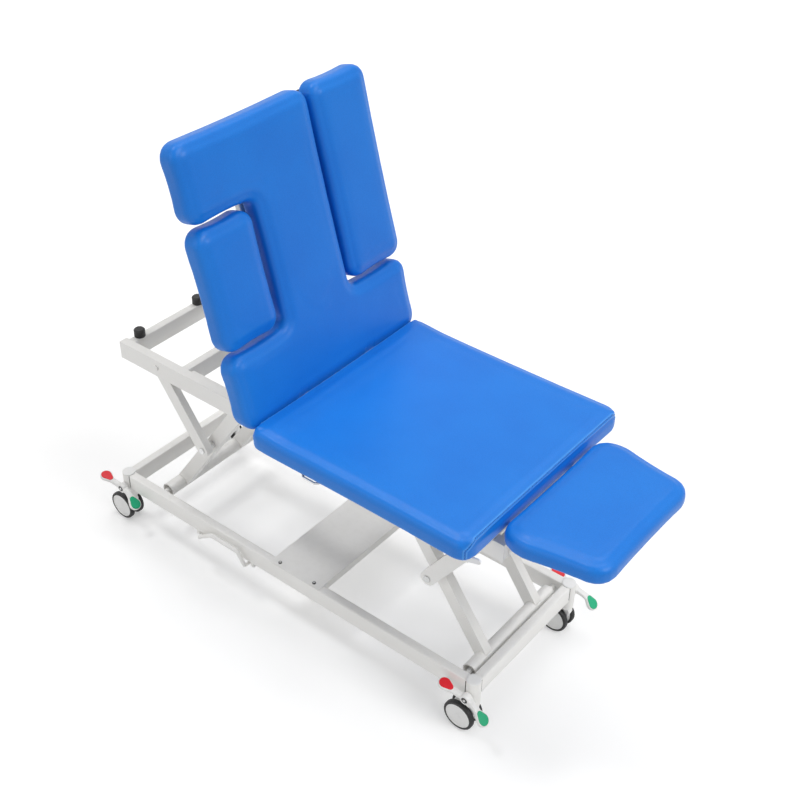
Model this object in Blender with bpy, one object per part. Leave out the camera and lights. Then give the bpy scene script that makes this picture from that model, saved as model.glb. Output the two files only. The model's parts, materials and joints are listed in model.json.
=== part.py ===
"""Electric ultrasound table: a wheeled base, a half-scissor lift and a padded three-section top.

X runs to the foot end, Y to the far side and Z up. The base stands on the floor at Z = 0.
"""

import math

import bmesh
import bpy
from mathutils import Matrix, Vector

# Fits and rounding
GAP = 0.0003
WELD = 0.001
ROUND_STEPS = 20
FINE_STEPS = 12
LINK_STEPS = 7
POST_STEPS = 24
ARC_STEPS = 4
SHARP_ANGLE = math.radians(35)

# Base frame
POST_X = 0.712
POST_Y = 0.245
POST_RADIUS = 0.022
POST_BOTTOM = 0.105
POST_TOP = 0.200
RAIL_HEIGHT = 0.060
RAIL_WIDTH = 0.030
RAIL_WALL = 0.0025
RAIL_CORNER = 0.005
BASE_RAIL_TOP = 0.198

# Tray between the base rails
TRAY_HEAD_X = -0.053
TRAY_FOOT_X = 0.146
TRAY_HALF_WIDTH = 0.260
TRAY_SHEET = 0.002
TRAY_FLANGE = 0.026
TRAY_SCREW_INSET = 0.030
SCREW_RADIUS = 0.005
SCREW_HEAD = 0.003

# Casters and brake pedals
WHEEL_RADIUS = 0.050
RIM_RADIUS = 0.0415
WHEEL_OUTER = 0.029
WHEEL_INNER = 0.0115
HUB_RECESS = 0.0015
AXLE_RADIUS = 0.006
CASTER_TRAIL = 0.030
HOUSING_HALF = 0.0105
HOUSING_RADIUS = 0.034
STEM_RADIUS = 0.017
FORK_TOP_Z = 0.086
BRAKE_BAR_Z = 0.152
BRAKE_BAR_RADIUS = 0.006
PEDAL_INNER = 0.0230
PEDAL_OUTER = 0.0430
PEDAL_HUB_RADIUS = 0.014
PEDAL_ARM_THICK = 0.010
LOCK_PAD_REACH = 0.090
LOCK_PAD_Z = 0.018
FREE_PAD_X = 0.060
FREE_PAD_Z = -0.030
LOCK_PAD_TILT = math.radians(12)
FREE_PAD_TILT = math.radians(45)
PAD_LENGTH = 0.050
PAD_RADIUS = 0.0195
PAD_NECK_RADIUS = 0.0125
PAD_THICK = 0.011
PAD_OUT = 0.009
PEDAL_KNEE = 0.5

# Lift linkage
HEAD_PIVOT_X = -0.570
FOOT_PIVOT_X = 0.667
BASE_PIVOT_Z = 0.168
UPPER_PIVOT_Z = 0.657
LIFT_ANGLE = math.radians(35)
ARM_HALF_WIDTH = 0.022
ARM_INNER = 0.112
ARM_OUTER = 0.142
STRUT_HALF_WIDTH = 0.0235
STRUT_INNER = 0.163
STRUT_OUTER = 0.187
TORSION_RADIUS = 0.0235
TORSION_WALL = 0.004
TORSION_END = 0.203
DRIVEN_END = 0.2145
SPINDLE_RADIUS = 0.008
BUSH_LENGTH = 0.022
BUSH_RECESS = 0.018
PIN_RADIUS = 0.007
PIN_HEAD_RADIUS = 0.011
PIN_HEAD = 0.004
SPACER_RADIUS = 0.013
BOLT_RADIUS = 0.006
BOLT_HEAD_RADIUS = 0.010
BOLT_HEAD = 0.005
ROLLER_RADIUS = 0.016
ROLLER_WIDTH = 0.0115
ROLLER_NECK = 0.002
PIVOT_CLEARANCE = 0.0003

# Lift drive
DRIVE_Y = 0.2065
DRIVE_HEIGHT = 0.077
DRIVE_LEAN = math.radians(-7.5)
LEVER_THICK = 0.012
LEVER_HUB_RADIUS = 0.034
LEVER_TIP = 0.086
LEVER_TIP_RADIUS = 0.020
LEVER_SLOT_START = 0.075
LEVER_SLOT_END = 0.090
LEVER_SLOT_CLEARANCE = 0.0025
FORK_WIDTH = 0.018
FORK_SLOT = 0.013
FORK_DEPTH = 0.040
FORK_BACK = 0.056
FORK_NOSE = 0.011
FORK_HEIGHT = 0.015
ROD_RADIUS = 0.008
ROD_LENGTH = 0.380
DRIVE_TUBE_RADIUS = 0.018
DRIVE_STROKE = 0.0504
DRIVE_CLEARANCE = 0.004
DRIVE_TUBE_FOOT_X = -0.060
DRIVE_BORE_STOP = 0.040
MOTOR_RADIUS = 0.021
MOTOR_LENGTH = 0.110
GEARBOX_LENGTH = 0.050
GEARBOX_HALF_WIDTH = 0.0215
DRIVE_FOOT_START = 0.015

# Upper frame
UPPER_RAIL_OUTER = 0.190
UPPER_RAIL_TOP = 0.684
UPPER_HEAD_X = -0.735
UPPER_FOOT_X = 0.740
END_CAP = 0.003
HEAD_TUBE_X = -0.710
MID_TUBE_X = -0.470
FOOT_TUBE_X = 0.722
GUIDE_WEB = 0.002
GUIDE_FLANGE_END = 0.1435
GUIDE_LENGTH = 0.470
HEAD_GUIDE_X = -0.450
FOOT_GUIDE_X = 0.075
BUMPER_RADIUS = 0.018
BUMPER_Y = 0.126
BUMPER_ROUND = 0.004

# Top sections: cushion, board and sub-frame layers
TOP_Z = 0.810
SEAT_HALF_WIDTH = 0.350
CUSHION_THICK = 0.070
BOARD_THICK = 0.008
BOARD_INSET = 0.040
SUBFRAME_HEIGHT = 0.020
SUBFRAME_WIDTH = 0.030
SUBFRAME_WALL = 0.002
SUBFRAME_CORNER = 0.002
EDGE_RADIUS = 0.020
UNDER_RADIUS = 0.010
CROWN = 0.006
CROWN_RING = 0.006
CORNER_RADIUS = 0.040
DRAW_IN = 0.003
SEAT_HEAD_X = 0.020
SEAT_FOOT_X = 0.742
SEAT_TUBE_INNER = 0.1165
BEARER_INSET = 0.050
BEARER_X = (0.175, 0.420, 0.690)
BEARER_WIDTH = 0.030

# Backrest, measured along its slope from the lower end of the cushion
BACK_HINGE_X = 0.000
BACK_HINGE_Z = 0.785
BACK_HINGE_DROP = 0.013
BACK_LEAN = math.radians(15)
BACK_LENGTH = 0.800
BACK_FOOT_LENGTH = 0.210
COLUMN_NEAR = -0.135
COLUMN_FAR = 0.122
ARM_REST_START = 0.585
BACK_TUBE_INNER = 0.111
BACK_TUBE_LENGTH = 0.720
BACK_BAR_LOW = 0.100
BACK_BAR_MID = 0.420
BACK_BAR_INSET = 0.020
HINGE_PLATE = 0.005
HINGE_EYE = 0.0105
HINGE_PIN = 0.005
HINGE_HEAD = 0.009
HINGE_LEG = 0.070
INNER_CORNER = 0.030

# Wing cushions
WING_GAP = 0.015
NEAR_WING_INNER = 0.155
NEAR_WING_END = 0.570
FAR_WING_INNER = 0.135
WING_PIVOT_Y = 0.198
WING_PIVOT_DEPTH = 0.100
WING_ROD_RADIUS = 0.006
WING_EAR = 0.006
WING_EAR_RADIUS = 0.012
WING_EAR_INSET = 0.050
WING_ROD_OVERHANG = 0.024

# Leg section
LEG_HEAD_X = 0.772
LEG_FOOT_X = 1.048
LEG_TOP_Z = 0.795
LEG_THICK = 0.060
LEG_HEAD_HALF = 0.252
LEG_FOOT_HALF = 0.205
LEG_CORNER = 0.055
LEG_HINGE_X = 0.757
LEG_ARM_THICK = 0.015
LEG_ARM_LENGTH = 0.190
LEG_PLATE_LENGTH = 0.075
LEG_BAR = 0.012
LEG_BAR_INSET = 0.030

# Gas spring of the backrest
GAS_FOOT_X = 0.160
GAS_FOOT_Z = 0.620
GAS_HEAD_S = 0.030
GAS_HEAD_DEPTH = 0.115
GAS_RADIUS = 0.011
GAS_BODY = 0.165
GAS_ROD_RADIUS = 0.004
GAS_EYE_RADIUS = 0.010
GAS_EYE_HALF = 0.0115
GAS_EAR = 0.004
GAS_EAR_RADIUS = 0.013

# Control box, inlet and hand levers
BOX_LENGTH = 0.200
BOX_WIDTH = 0.110
BOX_HEIGHT = 0.050
BOX_HEAD_X = 0.412
INLET_WIDTH = 0.028
INLET_HEIGHT = 0.022
INLET_DEPTH = 0.012
HANDLE_CLIP_LAP = 0.0017
HANDLE_SPAN = 0.056
HANDLE_RADIUS = 0.004
HANDLE_PIVOT_INSET = 0.065
HANDLE_PIVOT_DROP = 0.0099
HANDLE_REACH_INSET = 0.014
HANDLE_REACH_DROP = 0.0125
LATCH_Z = 0.699
LATCH_REACH = 0.048
LATCH_RISE = 0.013
LATCH_THICK = 0.005
LATCH_RADIUS = 0.010
LATCH_TIP_RADIUS = 0.008
LATCH_STUD = 0.004
CLIP_BAR = 0.0035
FOOT_BAR_RADIUS = 0.005
FOOT_BAR_HEAD_X = -0.360
FOOT_BAR_FOOT_X = -0.155
FOOT_BAR_PIVOT_Y = -0.245
FOOT_BAR_PIVOT_Z = 0.126
FOOT_BAR_CLIP = 0.012
FOOT_BAR_REACH_Y = -0.276
FOOT_BAR_LIFT = 0.180
FOOT_BAR_SHOULDER_HEAD = 0.070
FOOT_BAR_SHOULDER_FOOT = 0.025
FOOT_BAR_KNEE_Z = 0.140

# Sizes that follow from the values above
RAIL_INNER_Y = POST_Y - RAIL_WIDTH / 2
BASE_RAIL_Z = BASE_RAIL_TOP - RAIL_HEIGHT / 2
LINK = (UPPER_PIVOT_Z - BASE_PIVOT_Z) / (2 * math.cos(LIFT_ANGLE))
PIN_Z = (UPPER_PIVOT_Z + BASE_PIVOT_Z) / 2
HEAD_PIN_X = HEAD_PIVOT_X + LINK * math.sin(LIFT_ANGLE)
FOOT_PIN_X = FOOT_PIVOT_X - LINK * math.sin(LIFT_ANGLE)
HEAD_ROLLER_X = 2 * HEAD_PIN_X - HEAD_PIVOT_X
FOOT_ROLLER_X = 2 * FOOT_PIN_X - FOOT_PIVOT_X
UPPER_RAIL_INNER = UPPER_RAIL_OUTER - RAIL_WIDTH
UPPER_RAIL_Y = UPPER_RAIL_OUTER - RAIL_WIDTH / 2
UPPER_RAIL_Z = UPPER_RAIL_TOP - RAIL_HEIGHT / 2
SEAT_UNDER = TOP_Z - CUSHION_THICK
BOARD_TOP = SEAT_UNDER - GAP
SUBFRAME_TOP = BOARD_TOP - BOARD_THICK - GAP
SUBFRAME_BOTTOM = SUBFRAME_TOP - SUBFRAME_HEIGHT
LOCK_PAD_TIP = PAD_LENGTH / 2 * math.cos(LOCK_PAD_TILT) + PAD_THICK / 2 * math.sin(LOCK_PAD_TILT)
LOCK_PAD_X = LOCK_PAD_TIP - LOCK_PAD_REACH
BEARER_HALF_LENGTH = SEAT_HALF_WIDTH - BEARER_INSET
BEARER_TOP = SUBFRAME_BOTTOM + WELD
BEARER_BOTTOM = UPPER_RAIL_TOP + GAP
BUMPER_TOP = SUBFRAME_BOTTOM - GAP
SEAT_TUBE_OUTER = SEAT_TUBE_INNER + SUBFRAME_WIDTH
BACK_TUBE_OUTER = BACK_TUBE_INNER + SUBFRAME_WIDTH
BACK_BARS = (BACK_BAR_LOW, BACK_BAR_MID, BACK_TUBE_LENGTH - BACK_BAR_INSET)
HINGE_PLATE_INNER = SEAT_TUBE_OUTER - WELD
BACK_PLATE_INNER = BACK_TUBE_OUTER - WELD
BOARD_DEPTH = CUSHION_THICK + GAP
TUBE_DEPTH = BOARD_DEPTH + BOARD_THICK + GAP
BACK_HINGE_DEPTH = TOP_Z - BACK_HINGE_Z
LEG_UNDER = LEG_TOP_Z - LEG_THICK
LEG_ARM_TOP = LEG_UNDER - GAP - BOARD_THICK - GAP
LEG_HINGE_Z = LEG_ARM_TOP - SUBFRAME_HEIGHT / 2
DRIVE_Z = BASE_PIVOT_Z + DRIVE_HEIGHT
DRIVE_PIN_X = HEAD_PIVOT_X + DRIVE_HEIGHT * math.tan(DRIVE_LEAN)
DRIVE_TUBE_HEAD_X = DRIVE_PIN_X + FORK_BACK + DRIVE_STROKE + DRIVE_CLEARANCE
GUIDE_HALF = ROLLER_RADIUS + PIVOT_CLEARANCE
HANDLE_CLIP_X = BEARER_X[0] - BEARER_WIDTH / 2 + HANDLE_CLIP_LAP
HANDLE_X = HANDLE_CLIP_X + GAP + 2 * HANDLE_RADIUS + HANDLE_SPAN / 2
HANDLE_PIVOT_Y = HANDLE_PIVOT_INSET - SEAT_HALF_WIDTH
HANDLE_PIVOT_Z = SUBFRAME_TOP - HANDLE_PIVOT_DROP
HANDLE_REACH_Y = HANDLE_REACH_INSET - SEAT_HALF_WIDTH
HANDLE_REACH_Z = HANDLE_PIVOT_Z - HANDLE_REACH_DROP
LATCH_X = BEARER_X[-1]
LATCH_Y = -BEARER_HALF_LENGTH - GAP - LATCH_THICK / 2
SIDES = {"near": -1, "far": 1}
CORNERS = {"head_near": (-1, -1), "head_far": (-1, 1), "foot_near": (1, -1), "foot_far": (1, 1)}

# Frames of the sloping backrest: across, up the slope, and out of its face
BACK_UP = Vector((-math.sin(BACK_LEAN), 0, math.cos(BACK_LEAN)))
BACK_OUT = Vector((math.cos(BACK_LEAN), 0, math.sin(BACK_LEAN)))
BACK_HINGE = Vector((BACK_HINGE_X, 0, BACK_HINGE_Z))
BACK_CORNER = BACK_HINGE + BACK_HINGE_DROP * BACK_UP + BACK_HINGE_DEPTH * BACK_OUT


def frame(origin, x_axis, y_axis, z_axis):
    """A placement whose columns are the three given directions."""
    rows = Matrix((x_axis, y_axis, z_axis)).transposed()
    return Matrix.Translation(origin) @ rows.to_4x4()


FLAT = Matrix.Identity(4)
SIDE_VIEW = frame((0, 0, 0), (1, 0, 0), (0, 0, 1), (0, -1, 0))
ALONG_X = frame((0, 0, 0), (0, 1, 0), (0, 0, 1), (1, 0, 0))
ALONG_Y = frame((0, 0, 0), (0, 0, 1), (1, 0, 0), (0, 1, 0))
BACK_FACE = frame(BACK_CORNER, (0, 1, 0), BACK_UP, BACK_OUT)
BACK_SIDE = frame(BACK_CORNER, BACK_UP, BACK_OUT, (0, -1, 0))
BACK_CROSS = frame(BACK_CORNER, (0, -1, 0), BACK_OUT, BACK_UP)


def at_y(y):
    """The side view, moved across to y."""
    return Matrix.Translation((0, y, 0)) @ SIDE_VIEW


def back_at_y(y):
    """The backrest's side view, moved across to y."""
    return Matrix.Translation((0, y, 0)) @ BACK_SIDE


def back_at_s(s):
    """The backrest's cross-section, moved up the slope to s."""
    return Matrix.Translation(s * BACK_UP) @ BACK_CROSS


def back_point(y, s, out):
    """A world point given across, up the slope and out of the backrest's face."""
    return BACK_CORNER + Vector((0, y, 0)) + s * BACK_UP + out * BACK_OUT


def finish_mesh(bm, placement):
    """Turn a bmesh into a placed mesh with its faces pointing out."""
    bmesh.ops.remove_doubles(bm, verts=bm.verts, dist=1e-6)
    bm.transform(placement)
    bmesh.ops.recalc_face_normals(bm, faces=bm.faces)
    if bm.calc_volume(signed=True) < 0:
        bmesh.ops.reverse_faces(bm, faces=bm.faces)
    mesh = bpy.data.meshes.new("solid")
    bm.to_mesh(mesh)
    bm.free()
    return mesh


def prism(loops, depth, placement=FLAT):
    """Extrude an outline, with any holes, by depth about its own plane."""
    curve = bpy.data.curves.new("outline", "CURVE")
    curve.dimensions = "2D"
    curve.fill_mode = "BOTH"
    curve.extrude = depth / 2
    for loop in loops:
        spline = curve.splines.new("POLY")
        spline.points.add(len(loop) - 1)
        for point, (x, y) in zip(spline.points, loop):
            point.co = (x, y, 0, 1)
        spline.use_cyclic_u = True
    holder = bpy.data.objects.new("outline", curve)
    flat = bpy.data.meshes.new_from_object(holder)
    bm = bmesh.new()
    bm.from_mesh(flat)
    bpy.data.objects.remove(holder)
    bpy.data.curves.remove(curve)
    bpy.data.meshes.remove(flat)
    return finish_mesh(bm, placement)


def box(low, high):
    """A block between two corners."""
    size = Vector(high) - Vector(low)
    centre = (Vector(high) + Vector(low)) / 2
    bm = bmesh.new()
    bmesh.ops.create_cube(bm, size=1)
    return finish_mesh(bm, Matrix.Translation(centre) @ Matrix.Diagonal((*size, 1)))


def turned(profile, placement, steps=ROUND_STEPS, ring=False):
    """Turn (radius, height) points about the placement's Z axis; ring closes the profile on itself."""
    bm = bmesh.new()
    verts = [bm.verts.new((radius, 0, height)) for radius, height in profile]
    ends = verts[1:] + verts[:1] if ring else verts[1:]
    edges = [bm.edges.new(pair) for pair in zip(verts, ends)]
    bmesh.ops.spin(bm, geom=verts + edges, axis=(0, 0, 1), angle=2 * math.pi, steps=steps, use_merge=True)
    return finish_mesh(bm, placement)


def spun_y(profile, x, z, y=0.0, steps=ROUND_STEPS, ring=False):
    """A turned piece about an axis along Y, its heights counted from y."""
    return turned(profile, Matrix.Translation((x, y, z)) @ ALONG_Y, steps, ring)


def spun_x(profile, y, z, steps=ROUND_STEPS):
    """A turned piece about an axis along X, its heights the world X."""
    return turned(profile, Matrix.Translation((0, y, z)) @ ALONG_X, steps)


def solid_profile(radius, low, high):
    """The profile of a plain cylinder."""
    return [(0, low), (radius, low), (radius, high), (0, high)]


def rod(path, radius):
    """A bent round rod along a list of points."""
    curve = bpy.data.curves.new("rod", "CURVE")
    curve.dimensions = "3D"
    curve.bevel_depth = radius
    curve.bevel_resolution = 2
    curve.use_fill_caps = True
    spline = curve.splines.new("POLY")
    spline.points.add(len(path) - 1)
    for point, place in zip(spline.points, path):
        point.co = (*place, 1)
    holder = bpy.data.objects.new("rod", curve)
    bent = bpy.data.meshes.new_from_object(holder)
    bm = bmesh.new()
    bm.from_mesh(bent)
    bpy.data.objects.remove(holder)
    bpy.data.curves.remove(curve)
    bpy.data.meshes.remove(bent)
    return finish_mesh(bm, FLAT)


def combine(mesh, tools, operation):
    """Cut or join meshes in one exact Boolean and return the result."""
    scene = bpy.context.scene.collection
    target = bpy.data.objects.new("target", mesh)
    scene.objects.link(target)
    cutters = bpy.data.collections.new("cutters")
    scene.children.link(cutters)
    helpers = [bpy.data.objects.new("helper", tool) for tool in tools]
    for helper in helpers:
        cutters.objects.link(helper)
    modifier = target.modifiers.new("step", "BOOLEAN")
    modifier.operation = operation
    modifier.solver = "EXACT"
    modifier.operand_type = "COLLECTION"
    modifier.collection = cutters
    graph = bpy.context.evaluated_depsgraph_get()
    result = bpy.data.meshes.new_from_object(target.evaluated_get(graph))
    for item in [target, *helpers]:
        bpy.data.objects.remove(item)
    bpy.data.collections.remove(cutters)
    return result


def cut(mesh, *tools):
    """The mesh with the tools taken out of it."""
    return combine(mesh, tools, "DIFFERENCE")


def join(mesh, *tools):
    """The mesh and the tools as one solid."""
    return combine(mesh, tools, "UNION")


def circle(x, y, radius, steps=ROUND_STEPS):
    """The points of a circle."""
    angles = [2 * math.pi * i / steps for i in range(steps)]
    return [(x + radius * math.cos(a), y + radius * math.sin(a)) for a in angles]


def rectangle(x0, y0, x1, y1):
    """The corners of a rectangle."""
    return [(x0, y0), (x1, y0), (x1, y1), (x0, y1)]


def link_outline(p, q, radius_p, radius_q, steps=LINK_STEPS):
    """The outline of a link whose round ends sit on p and q."""
    p, q = Vector(p), Vector(q)
    direction = math.atan2(q.y - p.y, q.x - p.x)
    tilt = math.asin((radius_p - radius_q) / (q - p).length)
    points = []
    for centre, radius, start, sweep in (
        (q, radius_q, direction - math.pi / 2 + tilt, math.pi - 2 * tilt),
        (p, radius_p, direction + math.pi / 2 - tilt, math.pi + 2 * tilt),
    ):
        for i in range(steps + 1):
            angle = start + sweep * i / steps
            points.append((centre.x + radius * math.cos(angle), centre.y + radius * math.sin(angle)))
    return points


def rounded(corners, draw_in=0.0, arc_steps=ARC_STEPS):
    """A counter-clockwise outline from (x, y, radius) corners, its long sides drawn in between them."""
    count = len(corners)
    arcs = []
    for i in range(count):
        corner = Vector(corners[i][:2])
        radius = corners[i][2]
        back = (Vector(corners[i - 1][:2]) - corner).normalized()
        ahead = (Vector(corners[(i + 1) % count][:2]) - corner).normalized()
        half = math.acos(max(-1, min(1, back.dot(ahead)))) / 2
        middle = (back + ahead).normalized()
        centre = corner + middle * (radius / math.sin(half))
        start = corner + back * (radius / math.tan(half)) - centre
        sweep = math.pi - 2 * half
        if back.x * ahead.y - back.y * ahead.x > 0:
            sweep = -sweep
        turns = [Matrix.Rotation(sweep * k / arc_steps, 2) for k in range(arc_steps + 1)]
        arcs.append([centre + turn @ start for turn in turns])
    outline = []
    for i in range(count):
        outline.extend(arcs[i])
        start, end = arcs[i][-1], arcs[(i + 1) % count][0]
        side = end - start
        if draw_in == 0 or side.length < 2 * CORNER_RADIUS:
            continue
        inward = Vector((-side.y, side.x)).normalized()
        for t in (0.25, 0.5, 0.75):
            outline.append(start + side * t + inward * draw_in * 4 * t * (1 - t))
    return [tuple(point) for point in outline]


def tube_section(width, height, wall):
    """The outline and hole of a rectangular tube; the large tubes have rounder corners."""
    x, y = width / 2, height / 2
    corner, steps = (RAIL_CORNER, 2) if height > width else (SUBFRAME_CORNER, 1)
    outer = rounded([(a, b, corner) for a, b in rectangle(-x, -y, x, y)], arc_steps=steps)
    return [outer, rectangle(-x + wall, -y + wall, x - wall, y - wall)]


def tube_x(x0, x1, y, z, width, height, wall):
    """A rectangular tube along X."""
    place = Matrix.Translation(((x0 + x1) / 2, y, z)) @ ALONG_X
    return prism(tube_section(width, height, wall), x1 - x0, place)


def tube_y(y0, y1, x, z, width, height, wall):
    """A rectangular tube along Y, its height along Z."""
    place = Matrix.Translation((x, (y0 + y1) / 2, z)) @ ALONG_Y
    loops = [[(b, a) for a, b in reversed(loop)] for loop in tube_section(width, height, wall)]
    return prism(loops, y1 - y0, place)


def cushion(outline, thickness, placement):
    """A crowned cushion: rounded under and upper edges and a swell towards the middle."""
    bm = bmesh.new()
    under = bm.faces.new([bm.verts.new((x, y, UNDER_RADIUS)) for x, y in outline])
    wall = bmesh.ops.extrude_face_region(bm, geom=[under])
    top = next(item for item in wall["geom"] if isinstance(item, bmesh.types.BMFace))
    rise = thickness - CROWN - EDGE_RADIUS - UNDER_RADIUS
    bmesh.ops.translate(bm, vec=(0, 0, rise), verts=top.verts)
    shrink_rings(bm, top, edge_rings(EDGE_RADIUS, 3) + crown_rings())
    shrink_rings(bm, under, [(inset, -lift) for inset, lift in edge_rings(UNDER_RADIUS, 2)])
    return finish_mesh(bm, placement)


def edge_rings(radius, count):
    """Steps of inset and lift round a quarter circle."""
    places = [(radius * (1 - math.cos(a)), radius * math.sin(a))
              for a in [math.pi / 2 * i / count for i in range(count + 1)]]
    return [(b[0] - a[0], b[1] - a[1]) for a, b in zip(places, places[1:])]


def crown_rings():
    """Steps of inset and lift that swell the face to its crown."""
    heights = [CROWN * (1 - (1 - t) ** 2) for t in (0, 1 / 3, 2 / 3, 1)]
    return [(CROWN_RING, b - a) for a, b in zip(heights, heights[1:])]


def shrink_rings(bm, face, rings):
    """Inset a face ring by ring, lifting what is left each time."""
    for inset, lift in rings:
        bmesh.ops.inset_region(bm, faces=[face], thickness=inset, use_even_offset=True, use_boundary=True)
        bmesh.ops.translate(bm, vec=(0, 0, lift), verts=face.verts)


class Table:
    """Holds the collection, the joint empties and the materials while the pieces are made."""

    def __init__(self, name):
        self.collection = bpy.data.collections.new(name)
        bpy.context.scene.collection.children.link(self.collection)
        self.materials = {}
        self.bodies = {}
        self.pivots = {}

    def material(self, name, colour, roughness, metallic=0.0):
        """Make a plain finish."""
        finish = bpy.data.materials.new(name)
        finish.use_nodes = True
        shader = finish.node_tree.nodes["Principled BSDF"]
        shader.inputs["Base Color"].default_value = (*colour, 1)
        shader.inputs["Roughness"].default_value = roughness
        shader.inputs["Metallic"].default_value = metallic
        self.materials[name] = finish

    def body(self, name, pivot, parent=None):
        """Add a joint empty on its axis, under the body that carries it."""
        empty = bpy.data.objects.new(name + "_pivot", None)
        self.collection.objects.link(empty)
        self.bodies[name] = empty
        self.pivots[name] = Vector(pivot)
        if parent:
            empty.parent = self.bodies[parent]
            empty.location = self.pivots[name] - self.pivots[parent]

    def piece(self, name, body, finish, mesh):
        """Make one named piece, carried by a body."""
        mesh.transform(Matrix.Translation(-self.pivots[body]))
        mesh.name = name
        mesh.materials.clear()
        mesh.materials.append(self.materials[finish])
        mesh.shade_smooth()
        mesh.set_sharp_from_angle(angle=SHARP_ANGLE)
        item = bpy.data.objects.new(name, mesh)
        self.collection.objects.link(item)
        item.parent = self.bodies[body]

    def centre(self):
        """Move the whole table so that the middle of its box stands over the origin."""
        bpy.context.view_layer.update()
        corners = [item.matrix_world @ Vector(corner)
                   for item in self.collection.objects if item.type == "MESH"
                   for corner in item.bound_box]
        spans = [[corner[axis] for corner in corners] for axis in (0, 1)]
        middle = [(min(span) + max(span)) / 2 for span in spans]
        self.bodies["base"].location = (-middle[0], -middle[1], 0)


def make_materials(table):
    """The finishes seen on the table."""
    table.material("powder_coat", (0.80, 0.80, 0.78), 0.45)
    table.material("leatherette", (0.02, 0.18, 0.75), 0.42)
    table.material("board", (0.45, 0.33, 0.20), 0.7)
    table.material("zinc_steel", (0.62, 0.63, 0.64), 0.35, 0.9)
    table.material("rubber", (0.015, 0.015, 0.016), 0.75)
    table.material("grey_plastic", (0.68, 0.69, 0.70), 0.5)
    table.material("dark_plastic", (0.05, 0.05, 0.055), 0.55)
    table.material("pedal_plastic", (0.05, 0.45, 0.20), 0.5)


def make_bodies(table):
    """The moving bodies and the pivots that they turn or slide on."""
    upper = "upper_frame"
    table.body("base", (0, 0, 0))
    table.body("head_arms", (HEAD_PIVOT_X, 0, BASE_PIVOT_Z), "base")
    table.body("head_struts", (HEAD_PIN_X, 0, PIN_Z), "head_arms")
    table.body(upper, (HEAD_PIVOT_X, 0, UPPER_PIVOT_Z), "head_struts")
    table.body("foot_arms", (FOOT_PIVOT_X, 0, BASE_PIVOT_Z), "base")
    table.body("foot_struts", (FOOT_PIN_X, 0, PIN_Z), "foot_arms")
    table.body("lift_rod", (DRIVE_PIN_X, DRIVE_Y, DRIVE_Z), "base")
    table.body("backrest", BACK_HINGE, upper)
    table.body("near_wing", back_point(-WING_PIVOT_Y, 0, -WING_PIVOT_DEPTH), "backrest")
    table.body("far_wing", back_point(WING_PIVOT_Y, 0, -WING_PIVOT_DEPTH), "backrest")
    table.body("leg_section", (LEG_HINGE_X, 0, LEG_HINGE_Z), upper)
    table.body("gas_body", (GAS_FOOT_X, 0, GAS_FOOT_Z), upper)
    table.body("gas_rod", back_point(0, GAS_HEAD_S, -GAS_HEAD_DEPTH), "gas_body")
    table.body("back_handle", (HANDLE_X, HANDLE_PIVOT_Y, HANDLE_PIVOT_Z), upper)
    table.body("leg_latch", (LATCH_X, LATCH_Y, LATCH_Z), upper)
    table.body("foot_control", (FOOT_BAR_HEAD_X, FOOT_BAR_PIVOT_Y, FOOT_BAR_PIVOT_Z), "base")
    for end, x in (("head", -POST_X), ("foot", POST_X)):
        table.body(end + "_pedals", (x, 0, BRAKE_BAR_Z), "base")
    for corner, (sx, sy) in CORNERS.items():
        post = Vector((sx * POST_X, sy * POST_Y, 0))
        table.body("swivel_" + corner, post, "base")
        table.body("wheels_" + corner, post + Vector((-CASTER_TRAIL, 0, WHEEL_RADIUS)), "swivel_" + corner)


def post_cutter(x, y):
    """The cylinder that copes a rail's end round a corner post."""
    place = Matrix.Translation((x, y, 0))
    return turned(solid_profile(POST_RADIUS + GAP, 0, POST_TOP + RAIL_HEIGHT), place, POST_STEPS)


def spindle(x, sign, reach):
    """A spindle that stands out of a base rail and carries a bush inside a torsion tube's end."""
    bush_out = reach - BUSH_RECESS
    bush_in = bush_out - BUSH_LENGTH
    rail = RAIL_INNER_Y + WELD
    bush = TORSION_RADIUS - TORSION_WALL - PIVOT_CLEARANCE
    profile = [(0, sign * bush_in), (bush, sign * bush_in), (bush, sign * bush_out),
               (SPINDLE_RADIUS, sign * bush_out), (SPINDLE_RADIUS, sign * rail), (0, sign * rail)]
    return spun_y(profile, x, BASE_PIVOT_Z)


def foot_bar_clips():
    """The two blocks under the near rail between which the foot bar turns."""
    y, z = FOOT_BAR_PIVOT_Y, FOOT_BAR_PIVOT_Z
    top = BASE_RAIL_TOP - RAIL_HEIGHT + WELD
    lows = (FOOT_BAR_HEAD_X - 2 * FOOT_BAR_CLIP - GAP, FOOT_BAR_FOOT_X + FOOT_BAR_CLIP + GAP)
    return [box((low, y - FOOT_BAR_CLIP, z - FOOT_BAR_RADIUS), (low + FOOT_BAR_CLIP, y + FOOT_BAR_CLIP, top))
            for low in lows]


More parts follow.
